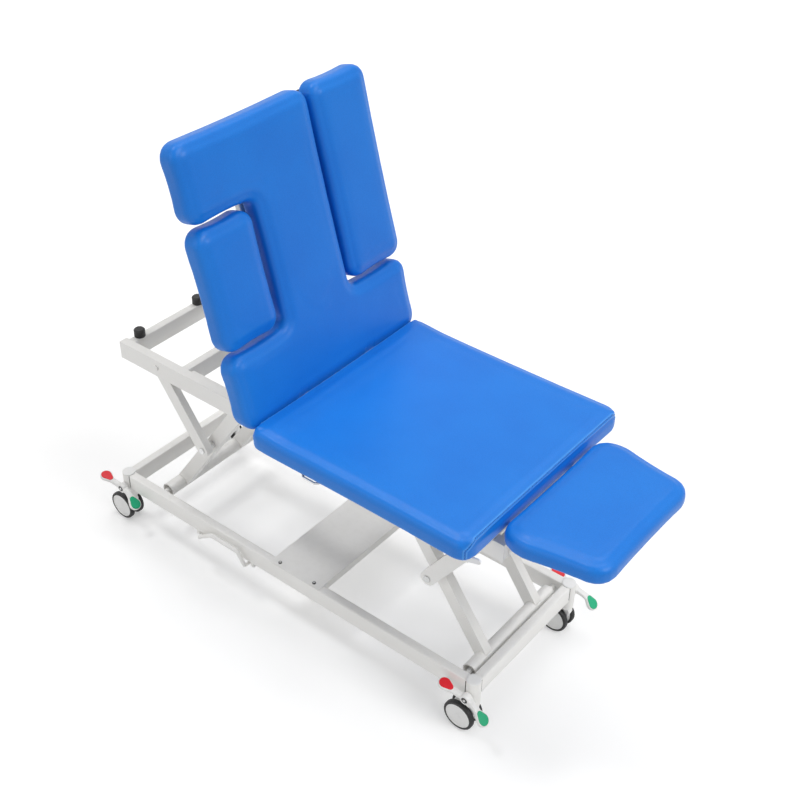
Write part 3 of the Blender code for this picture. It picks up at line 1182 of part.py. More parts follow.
def make_leg_section(table):
    """Arms, board and cushion of the hinged leg section."""
    body = "leg_section"
    arm_y = HINGE_PLATE_INNER + HINGE_PLATE + GAP + LEG_ARM_THICK / 2
    half = SUBFRAME_HEIGHT / 2
    end_x = LEG_HINGE_X + LEG_ARM_LENGTH
    outline = link_outline((LEG_HINGE_X, LEG_HINGE_Z), (end_x, LEG_HINGE_Z), half, half)
    bore = circle(LEG_HINGE_X, LEG_HINGE_Z, HINGE_PIN + PIVOT_CLEARANCE, FINE_STEPS)
    arms = [prism([outline, bore], LEG_ARM_THICK, at_y(sign * arm_y)) for sign in SIDES.values()]
    bar_x = end_x - LEG_BAR_INSET
    bar = box((bar_x - SUBFRAME_WIDTH / 2, -arm_y, LEG_ARM_TOP - LEG_BAR),
              (bar_x + SUBFRAME_WIDTH / 2, arm_y, LEG_ARM_TOP - WELD))
    table.piece("leg_frame", body, "powder_coat", join(bar, *arms))

    def corners(inset, radius):
        """The trapezoid of the section, drawn in by inset."""
        head, foot = LEG_HEAD_HALF - inset, LEG_FOOT_HALF - inset
        x0, x1 = LEG_HEAD_X + inset, LEG_FOOT_X - inset
        return [(x0, -head, radius), (x1, -foot, radius), (x1, foot, radius), (x0, head, radius)]

    board = rounded(corners(BOARD_INSET, LEG_CORNER / 2))
    place = Matrix.Translation((0, 0, LEG_UNDER - GAP - BOARD_THICK / 2))
    table.piece("leg_board", body, "board", prism([board], BOARD_THICK, place))
    pad = cushion(rounded(corners(0, LEG_CORNER), DRAW_IN), LEG_THICK, Matrix.Translation((0, 0, LEG_UNDER)))
    table.piece("leg_cushion", body, "leatherette", pad)


def make_gas_spring(table):
    """The backrest's locking gas spring between a seat bearer and the backrest's lower bar."""
    foot = Vector((GAS_FOOT_X, 0, GAS_FOOT_Z))
    head = back_point(0, GAS_HEAD_S, -GAS_HEAD_DEPTH)
    along = (head - foot).normalized()
    length = (head - foot).length
    place = frame(foot, (0, 1, 0), Vector((0, 1, 0)).cross(along) * -1, along)
    bore = GAS_ROD_RADIUS + PIVOT_CLEARANCE
    start = GAS_EYE_RADIUS - GAS_ROD_RADIUS / 2
    body = [(0, start), (GAS_RADIUS, start + GAS_ROD_RADIUS), (GAS_RADIUS, GAS_BODY), (bore, GAS_BODY),
            (bore, start + 2 * GAS_ROD_RADIUS), (0, start + 2 * GAS_ROD_RADIUS)]
    eye_profile = solid_profile(GAS_EYE_RADIUS, -GAS_EYE_HALF, GAS_EYE_HALF)
    hole = solid_profile(HINGE_PIN + PIVOT_CLEARANCE, -2 * GAS_EYE_HALF, 2 * GAS_EYE_HALF)
    drill = spun_y(hole, foot.x, foot.z, steps=FINE_STEPS)
    eye = spun_y(eye_profile, foot.x, foot.z, steps=FINE_STEPS)
    barrel = join(turned(body, place, FINE_STEPS), eye)
    table.piece("gas_spring_body", "gas_body", "dark_plastic", cut(barrel, drill))
    rod_start = start + 3 * GAS_ROD_RADIUS + (length - GAS_BODY)
    stem = turned(solid_profile(GAS_ROD_RADIUS, rod_start, length - GAS_ROD_RADIUS), place, FINE_STEPS)
    ring = spun_y(eye_profile, head.x, head.z, steps=FINE_STEPS)
    table.piece("gas_spring_rod", "gas_rod", "zinc_steel", join(ring, stem))


def make_controls(table):
    """Control box with its mains inlet, and the hand and foot levers."""
    top = BEARER_BOTTOM - GAP
    low = (BOX_HEAD_X, -BOX_WIDTH / 2, top - BOX_HEIGHT)
    high = (BOX_HEAD_X + BOX_LENGTH, BOX_WIDTH / 2, top)
    table.piece("control_box", "upper_frame", "grey_plastic", box(low, high))
    x, z = high[0] + GAP, top - BOX_HEIGHT / 2
    socket = box((x, -INLET_WIDTH / 2, z - INLET_HEIGHT / 2),
                 (x + INLET_DEPTH, INLET_WIDTH / 2, z + INLET_HEIGHT / 2))
    recess = box((x + INLET_DEPTH / 3, -INLET_WIDTH / 3, z - INLET_HEIGHT / 3),
                 (x + 2 * INLET_DEPTH, INLET_WIDTH / 3, z + INLET_HEIGHT / 3))
    table.piece("mains_inlet", "upper_frame", "dark_plastic", cut(socket, recess))
    make_handle(table)
    make_latch(table)
    make_foot_bar(table)


def make_handle(table):
    """The wire loop under the seat's near edge that frees the gas spring, in two clips."""
    x0, x1 = HANDLE_X - HANDLE_SPAN / 2, HANDLE_X + HANDLE_SPAN / 2
    inner = 2 * HANDLE_RADIUS
    path = [(x0 - inner, HANDLE_PIVOT_Y, HANDLE_PIVOT_Z), (x0, HANDLE_PIVOT_Y, HANDLE_PIVOT_Z),
            (x0, HANDLE_REACH_Y + inner, HANDLE_REACH_Z), (x0 + inner, HANDLE_REACH_Y, HANDLE_REACH_Z),
            (x1 - inner, HANDLE_REACH_Y, HANDLE_REACH_Z), (x1, HANDLE_REACH_Y + inner, HANDLE_REACH_Z),
            (x1, HANDLE_PIVOT_Y, HANDLE_PIVOT_Z), (x1 + inner, HANDLE_PIVOT_Y, HANDLE_PIVOT_Z)]
    table.piece("back_release_handle", "back_handle", "zinc_steel", rod(path, HANDLE_RADIUS))


def make_latch(table):
    """The small lever that frees the leg section."""
    tip = (LATCH_X + LATCH_REACH, LATCH_Z + LATCH_RISE)
    outline = link_outline((LATCH_X, LATCH_Z), tip, LATCH_RADIUS, LATCH_TIP_RADIUS)
    bore = circle(LATCH_X, LATCH_Z, LATCH_STUD + PIVOT_CLEARANCE, FINE_STEPS)
    lever = prism([outline, bore], LATCH_THICK, at_y(LATCH_Y))
    table.piece("leg_latch_lever", "leg_latch", "powder_coat", lever)


def make_foot_bar(table):
    """The cranked foot bar on the near rail that runs the lift, in two clips under the rail."""
    y0, z0 = FOOT_BAR_PIVOT_Y, FOOT_BAR_PIVOT_Z
    x0, x1 = FOOT_BAR_HEAD_X, FOOT_BAR_FOOT_X
    path = [(x0 - FOOT_BAR_CLIP, y0, z0), (x0, y0, z0), (x0, FOOT_BAR_REACH_Y + FOOT_BAR_RADIUS, z0),
            (x0 + FOOT_BAR_CLIP, FOOT_BAR_REACH_Y, FOOT_BAR_KNEE_Z),
            (x0 + FOOT_BAR_SHOULDER_HEAD, FOOT_BAR_REACH_Y, FOOT_BAR_LIFT),
            (x1 - FOOT_BAR_SHOULDER_FOOT, FOOT_BAR_REACH_Y, FOOT_BAR_LIFT),
            (x1, FOOT_BAR_REACH_Y, FOOT_BAR_KNEE_Z), (x1, FOOT_BAR_REACH_Y + FOOT_BAR_RADIUS, z0),
            (x1, y0, z0), (x1 + FOOT_BAR_CLIP, y0, z0)]
    table.piece("foot_control_bar", "foot_control", "powder_coat", rod(path, FOOT_BAR_RADIUS))


def main():
    """Clear the scene and build the table."""
    for item in list(bpy.data.objects):
        bpy.data.objects.remove(item, do_unlink=True)
    table = Table("ultrasound_table")
    make_materials(table)
    make_bodies(table)
    make_base(table)
    make_pedals(table)
    for corner, (sx, sy) in CORNERS.items():
        make_caster(table, corner, sx, sy)
    make_torsion(table, "head", HEAD_PIVOT_X, True)
    make_torsion(table, "foot", FOOT_PIVOT_X, False)
    make_half_scissor(table, "head", HEAD_PIVOT_X, HEAD_PIN_X, HEAD_ROLLER_X)
    make_half_scissor(table, "foot", FOOT_PIVOT_X, FOOT_PIN_X, FOOT_ROLLER_X)
    make_lift_drive(table)
    make_upper_frame(table)
    make_seat(table)
    make_backrest(table)
    make_wing(table, "near", -1, NEAR_WING_INNER, NEAR_WING_END)
    make_wing(table, "far", 1, FAR_WING_INNER, BACK_LENGTH)
    make_leg_section(table)
    make_gas_spring(table)
    make_controls(table)
    table.centre()


main()
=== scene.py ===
"""Looks of the electric ultrasound table: padded covers, coated steel, casters, pedals and studio."""

import json
import logging
import math
from dataclasses import dataclass, field
from enum import Enum
from typing import Iterable, Sequence

import bmesh
import bpy
import numpy as np
from mathutils import Matrix, Vector
from mathutils.bvhtree import BVHTree
from mathutils.kdtree import KDTree

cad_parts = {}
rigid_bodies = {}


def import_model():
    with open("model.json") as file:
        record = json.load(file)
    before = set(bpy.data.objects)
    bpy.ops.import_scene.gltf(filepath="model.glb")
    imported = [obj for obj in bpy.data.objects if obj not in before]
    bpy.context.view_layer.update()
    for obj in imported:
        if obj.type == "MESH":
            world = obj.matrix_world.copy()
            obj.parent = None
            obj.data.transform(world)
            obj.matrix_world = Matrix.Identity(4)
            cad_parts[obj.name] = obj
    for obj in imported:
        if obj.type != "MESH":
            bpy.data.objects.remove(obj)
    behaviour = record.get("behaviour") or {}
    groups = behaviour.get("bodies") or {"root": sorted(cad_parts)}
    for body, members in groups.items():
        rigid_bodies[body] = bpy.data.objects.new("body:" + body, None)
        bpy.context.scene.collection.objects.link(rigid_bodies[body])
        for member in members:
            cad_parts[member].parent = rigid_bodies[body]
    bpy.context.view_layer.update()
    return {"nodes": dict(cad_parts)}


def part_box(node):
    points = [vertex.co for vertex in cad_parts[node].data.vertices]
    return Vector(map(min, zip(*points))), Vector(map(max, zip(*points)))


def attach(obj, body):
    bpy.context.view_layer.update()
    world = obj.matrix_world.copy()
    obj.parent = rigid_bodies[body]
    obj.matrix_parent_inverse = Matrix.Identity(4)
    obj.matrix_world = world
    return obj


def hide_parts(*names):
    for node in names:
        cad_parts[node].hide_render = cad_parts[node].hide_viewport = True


logging.basicConfig(level=logging.INFO, format="%(message)s")
LOG = logging.getLogger("table")

for leftover in list(bpy.data.objects):
    bpy.data.objects.remove(leftover)
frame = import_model()

Triple = tuple[float, float, float]
Colour = Triple
Profile = list[tuple[float, float]]
Socket = bpy.types.NodeSocket
Sockets = bpy.types.bpy_prop_collection

UP: Triple = (0.0, 0.0, 1.0)
FULL_TURN = 2 * math.pi


class Side(Enum):
    """The side with the foot bar, and the one away from it."""

    NEAR = -1
    FAR = 1


class End(Enum):
    """The two ends of the base, with the place of their posts along the table."""

    HEAD = -0.835
    FOOT = 0.589


class Effect(Enum):
    """The shader effects that finishes share, with the names of their node groups."""

    SOFT_EDGES = "Soft edges"
    ORANGE_PEEL = "Orange peel"
    GRAIN = "Cover grain"
    TONE = "Tone drift"
    DUST = "Settled dust"
    STREAKS = "Drawn lines"


# Shapes


@dataclass
class Shape:
    """Points and faces of a piece, in metres in the table's own frame."""

    points: list[Vector] = field(default_factory=list)
    faces: list[tuple[int, ...]] = field(default_factory=list)

    def add(self, other: "Shape") -> "Shape":
        """Takes in another shape.

        Args:
            other: the shape whose points and faces are added.

        Returns:
            This shape.
        """
        base = len(self.points)
        self.points.extend(other.points)
        self.faces.extend(tuple(i + base for i in face) for face in other.faces)
        return self

    def moved(self, place: Matrix) -> "Shape":
        """A copy of the shape, put where the placement says."""
        return Shape([place @ p for p in self.points], list(self.faces))


def joined(shapes: Iterable[Shape]) -> Shape:
    """One shape made of several.

    Args:
        shapes: the shapes, in order.

    Returns:
        The new shape.
    """
    whole = Shape()
    for shape in shapes:
        whole.add(shape)
    return whole


def circle(count: int) -> list[tuple[float, float]]:
    """The cosine and sine of even steps round a circle."""
    turns = [FULL_TURN * k / count for k in range(count)]
    return [(math.cos(t), math.sin(t)) for t in turns]


def lofted(rings: Sequence[Sequence[Vector]]) -> Shape:
    """A closed skin over rings of equal count.

    Args:
        rings: the closed rings, in order; the first and last get an end face.

    Returns:
        The closed shape.
    """
    count, last = len(rings[0]), len(rings) - 1
    shape = Shape([Vector(p) for ring in rings for p in ring])
    for i in range(last):
        a, b = i * count, (i + 1) * count
        for k in range(count):
            n = (k + 1) % count
            shape.faces.append((a + k, a + n, b + n, b + k))
    shape.faces.append(tuple(reversed(range(count))))
    shape.faces.append(tuple(range(last * count, (last + 1) * count)))
    return shape


def turned(profile: Profile, steps: int, ring: bool = False) -> Shape:
    """A profile of (radius, height) turned round Z.

    Args:
        profile: the points of the profile; a point on the axis becomes a pole.
        steps: how many faces go round.
        ring: whether the profile is closed on itself, as for a tyre.

    Returns:
        The turned shape, round the Z axis.
    """
    shape = Shape()
    rows: list[list[int]] = []
    for radius, height in profile:
        start = len(shape.points)
        spots = [(radius * c, radius * s) for c, s in circle(steps)] if radius > 0 else [(0.0, 0.0)]
        shape.points.extend(Vector((x, y, height)) for x, y in spots)
        rows.append(list(range(start, len(shape.points))))
    pairs = list(zip(rows, rows[1:])) + ([(rows[-1], rows[0])] if ring else [])
    for low, high in pairs:
        for k in range(steps):
            n = (k + 1) % steps
            corners = [low[k % len(low)], low[n % len(low)], high[n % len(high)], high[k % len(high)]]
            face = tuple(dict.fromkeys(corners))
            if len(face) > 2:
                shape.faces.append(face)
    return shape


def rod(radius: float, half: float) -> Shape:
    """A plain round rod along Z, from -half to half."""
    return turned([(0, -half), (radius, -half), (radius, half), (0, half)], 24)


def bolt_head(radius: float, height: float) -> Shape:
    """A screw head on the XY plane, with a broken edge and a round socket.

    Args:
        radius: the head's radius.
        height: how far it stands up.

    Returns:
        The head, round the Z axis.
    """
    edge, floor = height * 0.35, height * 0.4
    return turned([(0, 0), (radius, 0), (radius, height - edge), (radius - edge * 0.3, height - edge * 0.3),
                   (radius - edge, height), (radius * 0.55, height), (radius * 0.5, floor), (0, floor)], 24)


def swept(path: Sequence[Vector], radius: float | Sequence[float], sides: int) -> Shape:
    """A round bar along a path, with closed ends.

    Args:
        path: the points of its middle line.
        radius: its radius, or one for each point.
        sides: how many faces go round.

    Returns:
        The bar.
    """
    radii = [radius] * len(path) if isinstance(radius, float) else radius
    rings = []
    normal = Vector(UP)
    for i, point in enumerate(path):
        along = (path[min(i + 1, len(path) - 1)] - path[max(i - 1, 0)]).normalized()
        normal = normal - normal.dot(along) * along
        if normal.length < 1e-4:
            normal = along.orthogonal()
        normal.normalize()
        other = along.cross(normal)
        rings.append([point + radii[i] * (c * normal + s * other) for c, s in circle(sides)])
    return lofted(rings)


def rounded(corners: Sequence[Vector], radius: float, steps: int = 8) -> list[Vector]:
    """A path through corners, each one rounded off.

    Args:
        corners: the path's ends and the corners between them.
        radius: how far from a corner its rounding starts, where there is room.
        steps: how many pieces a rounding has.

    Returns:
        The points of the path.
    """
    path = [corners[0]]
    for before, corner, after in zip(corners, corners[1:], corners[2:]):
        one, two = before - corner, after - corner
        reach = min(radius, one.length * 0.48, two.length * 0.48)
        start, end = corner + one.normalized() * reach, corner + two.normalized() * reach
        for k in range(steps + 1):
            t = k / steps
            path.append((1 - t) ** 2 * start + 2 * t * (1 - t) * corner + t * t * end)
    return [*path, corners[-1]]


def resampled(points: Sequence[Vector], step: float) -> list[Vector]:
    """Points at an even distance along a line.

    Args:
        points: the line's own points.
        step: the distance from one new point to the next.

    Returns:
        The new points.
    """
    spans = [0.0]
    for a, b in zip(points, points[1:]):
        spans.append(spans[-1] + (b - a).length)
    result, i = [], 0
    for k in range(int(spans[-1] / step) + 1):
        while spans[i + 1] < k * step and i < len(points) - 2:
            i += 1
        share = (k * step - spans[i]) / max(spans[i + 1] - spans[i], 1e-9)
        result.append(points[i].lerp(points[i + 1], share))
    return result


def axis_place(origin: Sequence[float], along: Sequence[float]) -> Matrix:
    """A placement at origin whose Z axis points along the given direction."""
    turn = Vector(UP).rotation_difference(Vector(along))
    return Matrix.Translation(origin) @ turn.to_matrix().to_4x4()


def placed(name: str, data: bpy.types.ID) -> bpy.types.Object:
    """Puts a new object into the scene.

    Args:
        name: the object's name.
        data: its mesh, lamp or camera.

    Returns:
        The new object.
    """
    obj = bpy.data.objects.new(name, data)
    bpy.context.scene.collection.objects.link(obj)
    return obj


# Shader nodes


@dataclass
class Net:
    """A node tree with short ways to add and join nodes."""

    tree: bpy.types.NodeTree

    def put(self, value: object, socket: Socket) -> None:
        """Joins an output to a socket, or sets the socket's own value.

        Args:
            value: the output to join, or the value to set; a colour needs no alpha.
            socket: the socket that takes it.
        """
        if isinstance(value, Socket):
            self.tree.links.new(value, socket)
        elif socket.type == "RGBA":
            socket.default_value = (*value, 1.0)
        else:
            socket.default_value = value

    def node(self, kind: str, feeds: dict[str | int, object] | None = None,
             **settings: object) -> bpy.types.Node:
        """Adds a node.

        Args:
            kind: the node's type.
            feeds: what its inputs take, by their name or place.
            settings: its properties, which are set first.

        Returns:
            The new node.
        """
        made = self.tree.nodes.new(kind)
        for key, value in settings.items():
            setattr(made, key, value)
        for key, value in (feeds or {}).items():
            self.put(value, made.inputs[key])
        return made

    def where(self) -> Socket:
        """The place of a point on its object."""
        return self.node("ShaderNodeTexCoord").outputs["Object"]

    def math(self, operation: str, *values: object, clamp: bool = False) -> Socket:
        """The output of a Math node on up to three values."""
        feeds = dict(enumerate(values))
        return self.node("ShaderNodeMath", feeds, operation=operation, use_clamp=clamp).outputs[0]

    def times(self, first: object, second: object) -> Socket:
        """The product of two values."""
        return self.math("MULTIPLY", first, second)

    def ramp(self, value: Socket, low: object, high: object, to_low: float = 0.0,
             to_high: float = 1.0) -> Socket:
        """A value taken smoothly from one range to another."""
        feeds = dict(enumerate((value, low, high, to_low, to_high)))
        return self.node("ShaderNodeMapRange", feeds, interpolation_type="SMOOTHSTEP").outputs[0]

    def mix(self, mask: object, first: object, second: object) -> Socket:
        """A mix of two colours by a mask."""
        feeds = {"Factor": mask, 6: first, 7: second}
        return self.node("ShaderNodeMix", feeds, data_type="RGBA").outputs[2]

    def noise(self, where: Socket, scale: object, detail: float = 2.0, rough: float = 0.5) -> Socket:
        """The value of a noise texture."""
        feeds = {"Vector": where, "Scale": scale, "Detail": detail, "Roughness": rough}
        return self.node("ShaderNodeTexNoise", feeds).outputs["Fac"]


class ShaderKit:
    """The shared effects, each made as one node group when a finish first asks for it."""

    def __init__(self) -> None:
        """Starts with no group made."""
        self.made: dict[Effect, bpy.types.NodeTree] = {}

    def __getitem__(self, effect: Effect) -> bpy.types.NodeTree:
        """The node group of an effect, made if it isn't there yet.

        Args:
            effect: the effect that a finish asks for.

        Returns:
            The group's node tree.
        """
        if effect not in self.made:
            self.made[effect] = bpy.data.node_groups.new(effect.value, "ShaderNodeTree")
            makers = {Effect.SOFT_EDGES: self._soft_edges, Effect.ORANGE_PEEL: self._orange_peel,
                      Effect.GRAIN: self._grain, Effect.TONE: self._tone, Effect.DUST: self._dust,
                      Effect.STREAKS: self._streaks}
            makers[effect]()
        return self.made[effect]

    def _open(self, effect: Effect, outputs: Sequence[str], **inputs: float) -> tuple[Net, Sockets, Sockets]:
        """Gives a new group its sockets.

        Args:
            effect: the group's effect.
            outputs: the names of its outputs.
            inputs: its value inputs and their defaults.

        Returns:
            The group's net, and its inputs and outputs as they are inside it.
        """
        net = Net(self.made[effect])
        for key, value in inputs.items():
            made = net.tree.interface.new_socket(key, in_out="INPUT", socket_type="NodeSocketFloat")
            made.default_value = value
        for key in outputs:
            kind = "NodeSocketVector" if key == "Normal" else "NodeSocketFloat"
            net.tree.interface.new_socket(key, in_out="OUTPUT", socket_type=kind)
        return net, net.node("NodeGroupInput").outputs, net.node("NodeGroupOutput").inputs

    def _soft_edges(self) -> None:
        """Rounds the look of edges and gives a mask of where they are."""
        net, start, end = self._open(Effect.SOFT_EDGES, ("Normal", "Edge"), Radius=0.0012)
        bevel = net.node("ShaderNodeBevel", {"Radius": start["Radius"]}, samples=4).outputs[0]
        flat = net.node("ShaderNodeNewGeometry").outputs["Normal"]
        dot = net.node("ShaderNodeVectorMath", {0: bevel, 1: flat}, operation="DOT_PRODUCT")
        net.put(bevel, end["Normal"])
        net.put(net.ramp(dot.outputs["Value"], 0.985, 0.86), end["Edge"])

    def _orange_peel(self) -> None:
        """The fine ripple of baked powder coat."""
        net, start, end = self._open(Effect.ORANGE_PEEL, ("Height",), Scale=420.0)
        where = net.where()
        coarse = net.noise(where, start["Scale"], 1.5, 0.4)
        fine = net.noise(where, net.times(start["Scale"], 3.1), 1.0, 0.4)
        net.put(net.math("MULTIPLY_ADD", fine, 0.3, coarse), end["Height"])

    def _grain(self) -> None:
        """The pebbled grain of a coated cover."""
        net, start, end = self._open(Effect.GRAIN, ("Height", "Pits"), Scale=620.0)
        where = net.where()
        drift = net.node("ShaderNodeTexNoise", {"Vector": where, "Scale": 260.0}).outputs["Color"]
        shift = {0: drift, 1: (0.0016, 0.0016, 0.0016), 2: where}
        warped = net.node("ShaderNodeVectorMath", shift, operation="MULTIPLY_ADD").outputs[0]
        pebbles = {"Vector": warped, "Scale": start["Scale"], "Smoothness": 0.6}
        cells = net.node("ShaderNodeTexVoronoi", pebbles, feature="SMOOTH_F1")
        pits = net.ramp(cells.outputs["Distance"], 0.15, 0.75)
        hair = net.noise(warped, net.times(start["Scale"], 2.7))
        net.put(net.math("MULTIPLY_ADD", hair, 0.25, net.math("SUBTRACT", 1.0, pits)), end["Height"])
        net.put(pits, end["Pits"])

    def _tone(self) -> None:
        """Slow and fine drifts of tone over a surface."""
        net, start, end = self._open(Effect.TONE, ("Slow", "Fine"), Slow=4.0, Fine=60.0)
        where = net.where()
        for key, detail in (("Slow", 3.0), ("Fine", 4.0)):
            net.put(net.ramp(net.noise(where, start[key], detail), 0.3, 0.7), end[key])

    def _dust(self) -> None:
        """Dust that settles on faces that look up, more of it near the floor."""
        net, start, end = self._open(Effect.DUST, ("Mask",), Amount=0.2, Reach=0.25)
        where = net.where()
        height = net.node("ShaderNodeSeparateXYZ", {0: where}).outputs["Z"]
        normal = net.node("ShaderNodeNewGeometry").outputs["Normal"]
        facing = net.node("ShaderNodeSeparateXYZ", {0: normal}).outputs["Z"]
        settled = net.times(net.ramp(facing, 0.2, 0.95), net.ramp(height, start["Reach"], 0.0, 0.25, 1.0))
        specks = net.ramp(net.noise(where, 45.0, 6.0, 0.65), 0.42, 0.72)
        net.put(net.times(net.times(settled, specks), start["Amount"]), end["Mask"])

    def _streaks(self) -> None:
        """Fine drawn lines of plated or turned steel."""
        net, start, end = self._open(Effect.STREAKS, ("Lines",), Scale=60.0)
        drawn = net.node("ShaderNodeVectorMath", {0: net.where(), 1: (1.0, 14.0, 14.0)}, operation="MULTIPLY")
        net.put(net.noise(drawn.outputs[0], start["Scale"], 3.0, 0.6), end["Lines"])


class Surface(Net):
    """A material that is being put together round one Principled shader."""

    kit = ShaderKit()

    def __init__(self, name: str) -> None:
        """Makes the material and finds its shader.

        Args:
            name: the material's name.
        """
        self.material = bpy.data.materials.new(name)
        self.material.use_nodes = True
        super().__init__(self.material.node_tree)
        self.shader = next(n for n in self.tree.nodes if n.type == "BSDF_PRINCIPLED")

    def effect(self, effect: Effect, **values: float) -> Sockets:
        """Places a shared effect with its own values and gives its outputs."""
        return self.node("ShaderNodeGroup", values, node_tree=self.kit[effect]).outputs

    def feed(self, **values: object) -> None:
        """Joins or sets the shader's sockets, named with _ for a blank."""
        for key, value in values.items():
            self.put(value, self.shader.inputs[key.replace("_", " ")])

    def relief(self, height: Socket, strength: float, depth: float, under: Socket | None = None) -> None:
        """Feeds a height through a bump to the shader's normal.

        Args:
            height: the height's output.
            strength: how much of the bump shows.
            depth: how deep a height of 1 is.
            under: the normal below the bump, if it isn't the surface's own.
        """
        feeds = {"Strength": strength, "Distance": depth, "Height": height}
        if under is not None:
            feeds["Normal"] = under
        self.feed(Normal=self.node("ShaderNodeBump", feeds).outputs[0])


# Finishes


@dataclass(frozen=True)
class Finish:
    """A named finish; each kind dresses its surface in its own way."""

    name: str
    colour: Colour

    def make(self) -> bpy.types.Material:
        """Makes the finish's material.

        Returns:
            The dressed material.
        """
        surface = Surface(self.name)
        self.dress(surface)
        return surface.material

    def dress(self, s: Surface) -> None:
        """Sets up the shader of a surface."""
        raise NotImplementedError


@dataclass(frozen=True)
class CoatedSteel(Finish):
    """Powder coat on steel: a fine ripple, slow tone drift, dust low down."""

    name: str = "powder_coat"
    colour: Colour = (0.925, 0.915, 0.89)
    shade: Colour = (0.895, 0.885, 0.86)
    edge: Colour = (0.95, 0.94, 0.92)
    dust: Colour = (0.42, 0.40, 0.37)
    roughness: float = 0.40

    def dress(self, s: Surface) -> None:
        """Sets up ripple, worn edges and dust.

        Args:
            s: the surface to dress.
        """
        edge = s.effect(Effect.SOFT_EDGES, Radius=0.0016)
        peel = s.effect(Effect.ORANGE_PEEL, Scale=420.0)
        tone = s.effect(Effect.TONE, Slow=3.5, Fine=55.0)
        dust = s.effect(Effect.DUST, Amount=0.14, Reach=0.3)["Mask"]
        base = s.mix(tone["Slow"], self.colour, self.shade)
        worn = s.mix(s.times(edge["Edge"], tone["Fine"]), base, self.edge)
        rough = s.ramp(tone["Fine"], 0.0, 1.0, self.roughness - 0.05, self.roughness + 0.07)
        s.feed(Base_Color=s.mix(dust, worn, self.dust), Coat_Weight=0.12, Coat_Roughness=0.22,
               Roughness=s.math("ADD", rough, s.times(dust, 0.4), clamp=True))
        s.relief(peel["Height"], 0.10, 0.0004, edge["Normal"])


@dataclass(frozen=True)
class CoatedCover(Finish):
    """Blue coated upholstery cover: pebbled grain and soft gloss; painted shade darkens the seams' creases,
    with a little dirt, and the grain's pits, and a painted highlight lightens the welts.
    """

    name: str = "leatherette"
    colour: Colour = (0.008, 0.210, 0.74)
    deep: Colour = (0.007, 0.190, 0.70)
    # Painted shade colour: darkens the seam's crease, with a little dirt, and the grain's pits.
    seam: Colour = (0.004, 0.04, 0.24)
    # Painted highlight colour: the welts are lightened towards it.
    painted_welt_highlight: Colour = (0.12, 0.44, 0.95)

    def dress(self, s: Surface) -> None:
        """Sets up grain, painted shade in the seams and the grain's pits, and a painted highlight on the
        welts; the cover's own marks place seams and welts.

        Args:
            s: the surface to dress.
        """
        grain = s.effect(Effect.GRAIN, Scale=640.0)
        tone = s.effect(Effect.TONE, Slow=5.0, Fine=90.0)
        seam, welt = (s.node("ShaderNodeAttribute", attribute_name=mark).outputs["Fac"]
                      for mark in ("seam", "welt"))
        base = s.mix(tone["Slow"], self.colour, self.deep)
        # Painted highlight: the cover is lightened along its welts, where gloss would catch the light.
        lightened = s.mix(s.times(welt, 0.55), base, self.painted_welt_highlight)
        # Painted shade: the grain's pits are darkened a little.
        pit_shaded = s.mix(s.times(grain["Pits"], 0.16), lightened, self.seam)
        rough = s.ramp(tone["Fine"], 0.0, 1.0, 0.27, 0.33)
        # Painted shade, with a little dirt: the cover is darkened along the seam's groove.
        s.feed(Base_Color=s.mix(s.times(seam, 0.75), pit_shaded, self.seam), Specular_IOR_Level=0.30,
               Roughness=s.math("MULTIPLY_ADD", grain["Pits"], 0.12, rough))
        s.relief(grain["Height"], 0.12, 0.0004)


@dataclass(frozen=True)
class PlatedSteel(Finish):
    """Bright plated steel with drawn lines and a little dulling."""

    name: str = "zinc_steel"
    colour: Colour = (0.74, 0.745, 0.75)
    roughness: float = 0.24
    dull: Colour = (0.60, 0.605, 0.60)

    def dress(self, s: Surface) -> None:
        """Sets up drawn lines and dull patches.

        Args:
            s: the surface to dress.
        """
        lines = s.effect(Effect.STREAKS, Scale=70.0)["Lines"]
        tone = s.effect(Effect.TONE, Slow=18.0, Fine=160.0)
        edge = s.effect(Effect.SOFT_EDGES, Radius=0.0006)
        s.feed(Base_Color=s.mix(tone["Slow"], self.colour, self.dull), Metallic=1.0,
               Roughness=s.ramp(lines, 0.3, 0.7, self.roughness, self.roughness + 0.16))
        s.relief(lines, 0.06, 0.0002, edge["Normal"])


@dataclass(frozen=True)
class Moulding(Finish):
    """Moulded plastic or rubber with a fine spark-eroded texture."""

    shade: Colour
    roughness: float
    texture: float = 900.0
    depth: float = 0.08
    dust: float = 0.3
    dust_colour: Colour = (0.36, 0.35, 0.33)

    def dress(self, s: Surface) -> None:
        """Sets up texture, rubbed edges and dust.

        Args:
            s: the surface to dress.
        """
        edge = s.effect(Effect.SOFT_EDGES, Radius=0.0010)
        peel = s.effect(Effect.ORANGE_PEEL, Scale=self.texture)
        tone = s.effect(Effect.TONE, Slow=9.0, Fine=120.0)
        dust = s.effect(Effect.DUST, Amount=self.dust, Reach=0.22)["Mask"]
        base = s.mix(tone["Slow"], self.colour, self.shade)
        lifted = tuple(min(1.0, c * 1.15 + 0.015) for c in self.colour)
        lightened = s.mix(s.times(edge["Edge"], 0.5), base, lifted)
        s.feed(Base_Color=s.mix(dust, lightened, self.dust_colour),
               Roughness=s.ramp(tone["Fine"], 0.0, 1.0, self.roughness - 0.05, self.roughness + 0.08))
        s.relief(peel["Height"], self.depth, 0.0003, edge["Normal"])


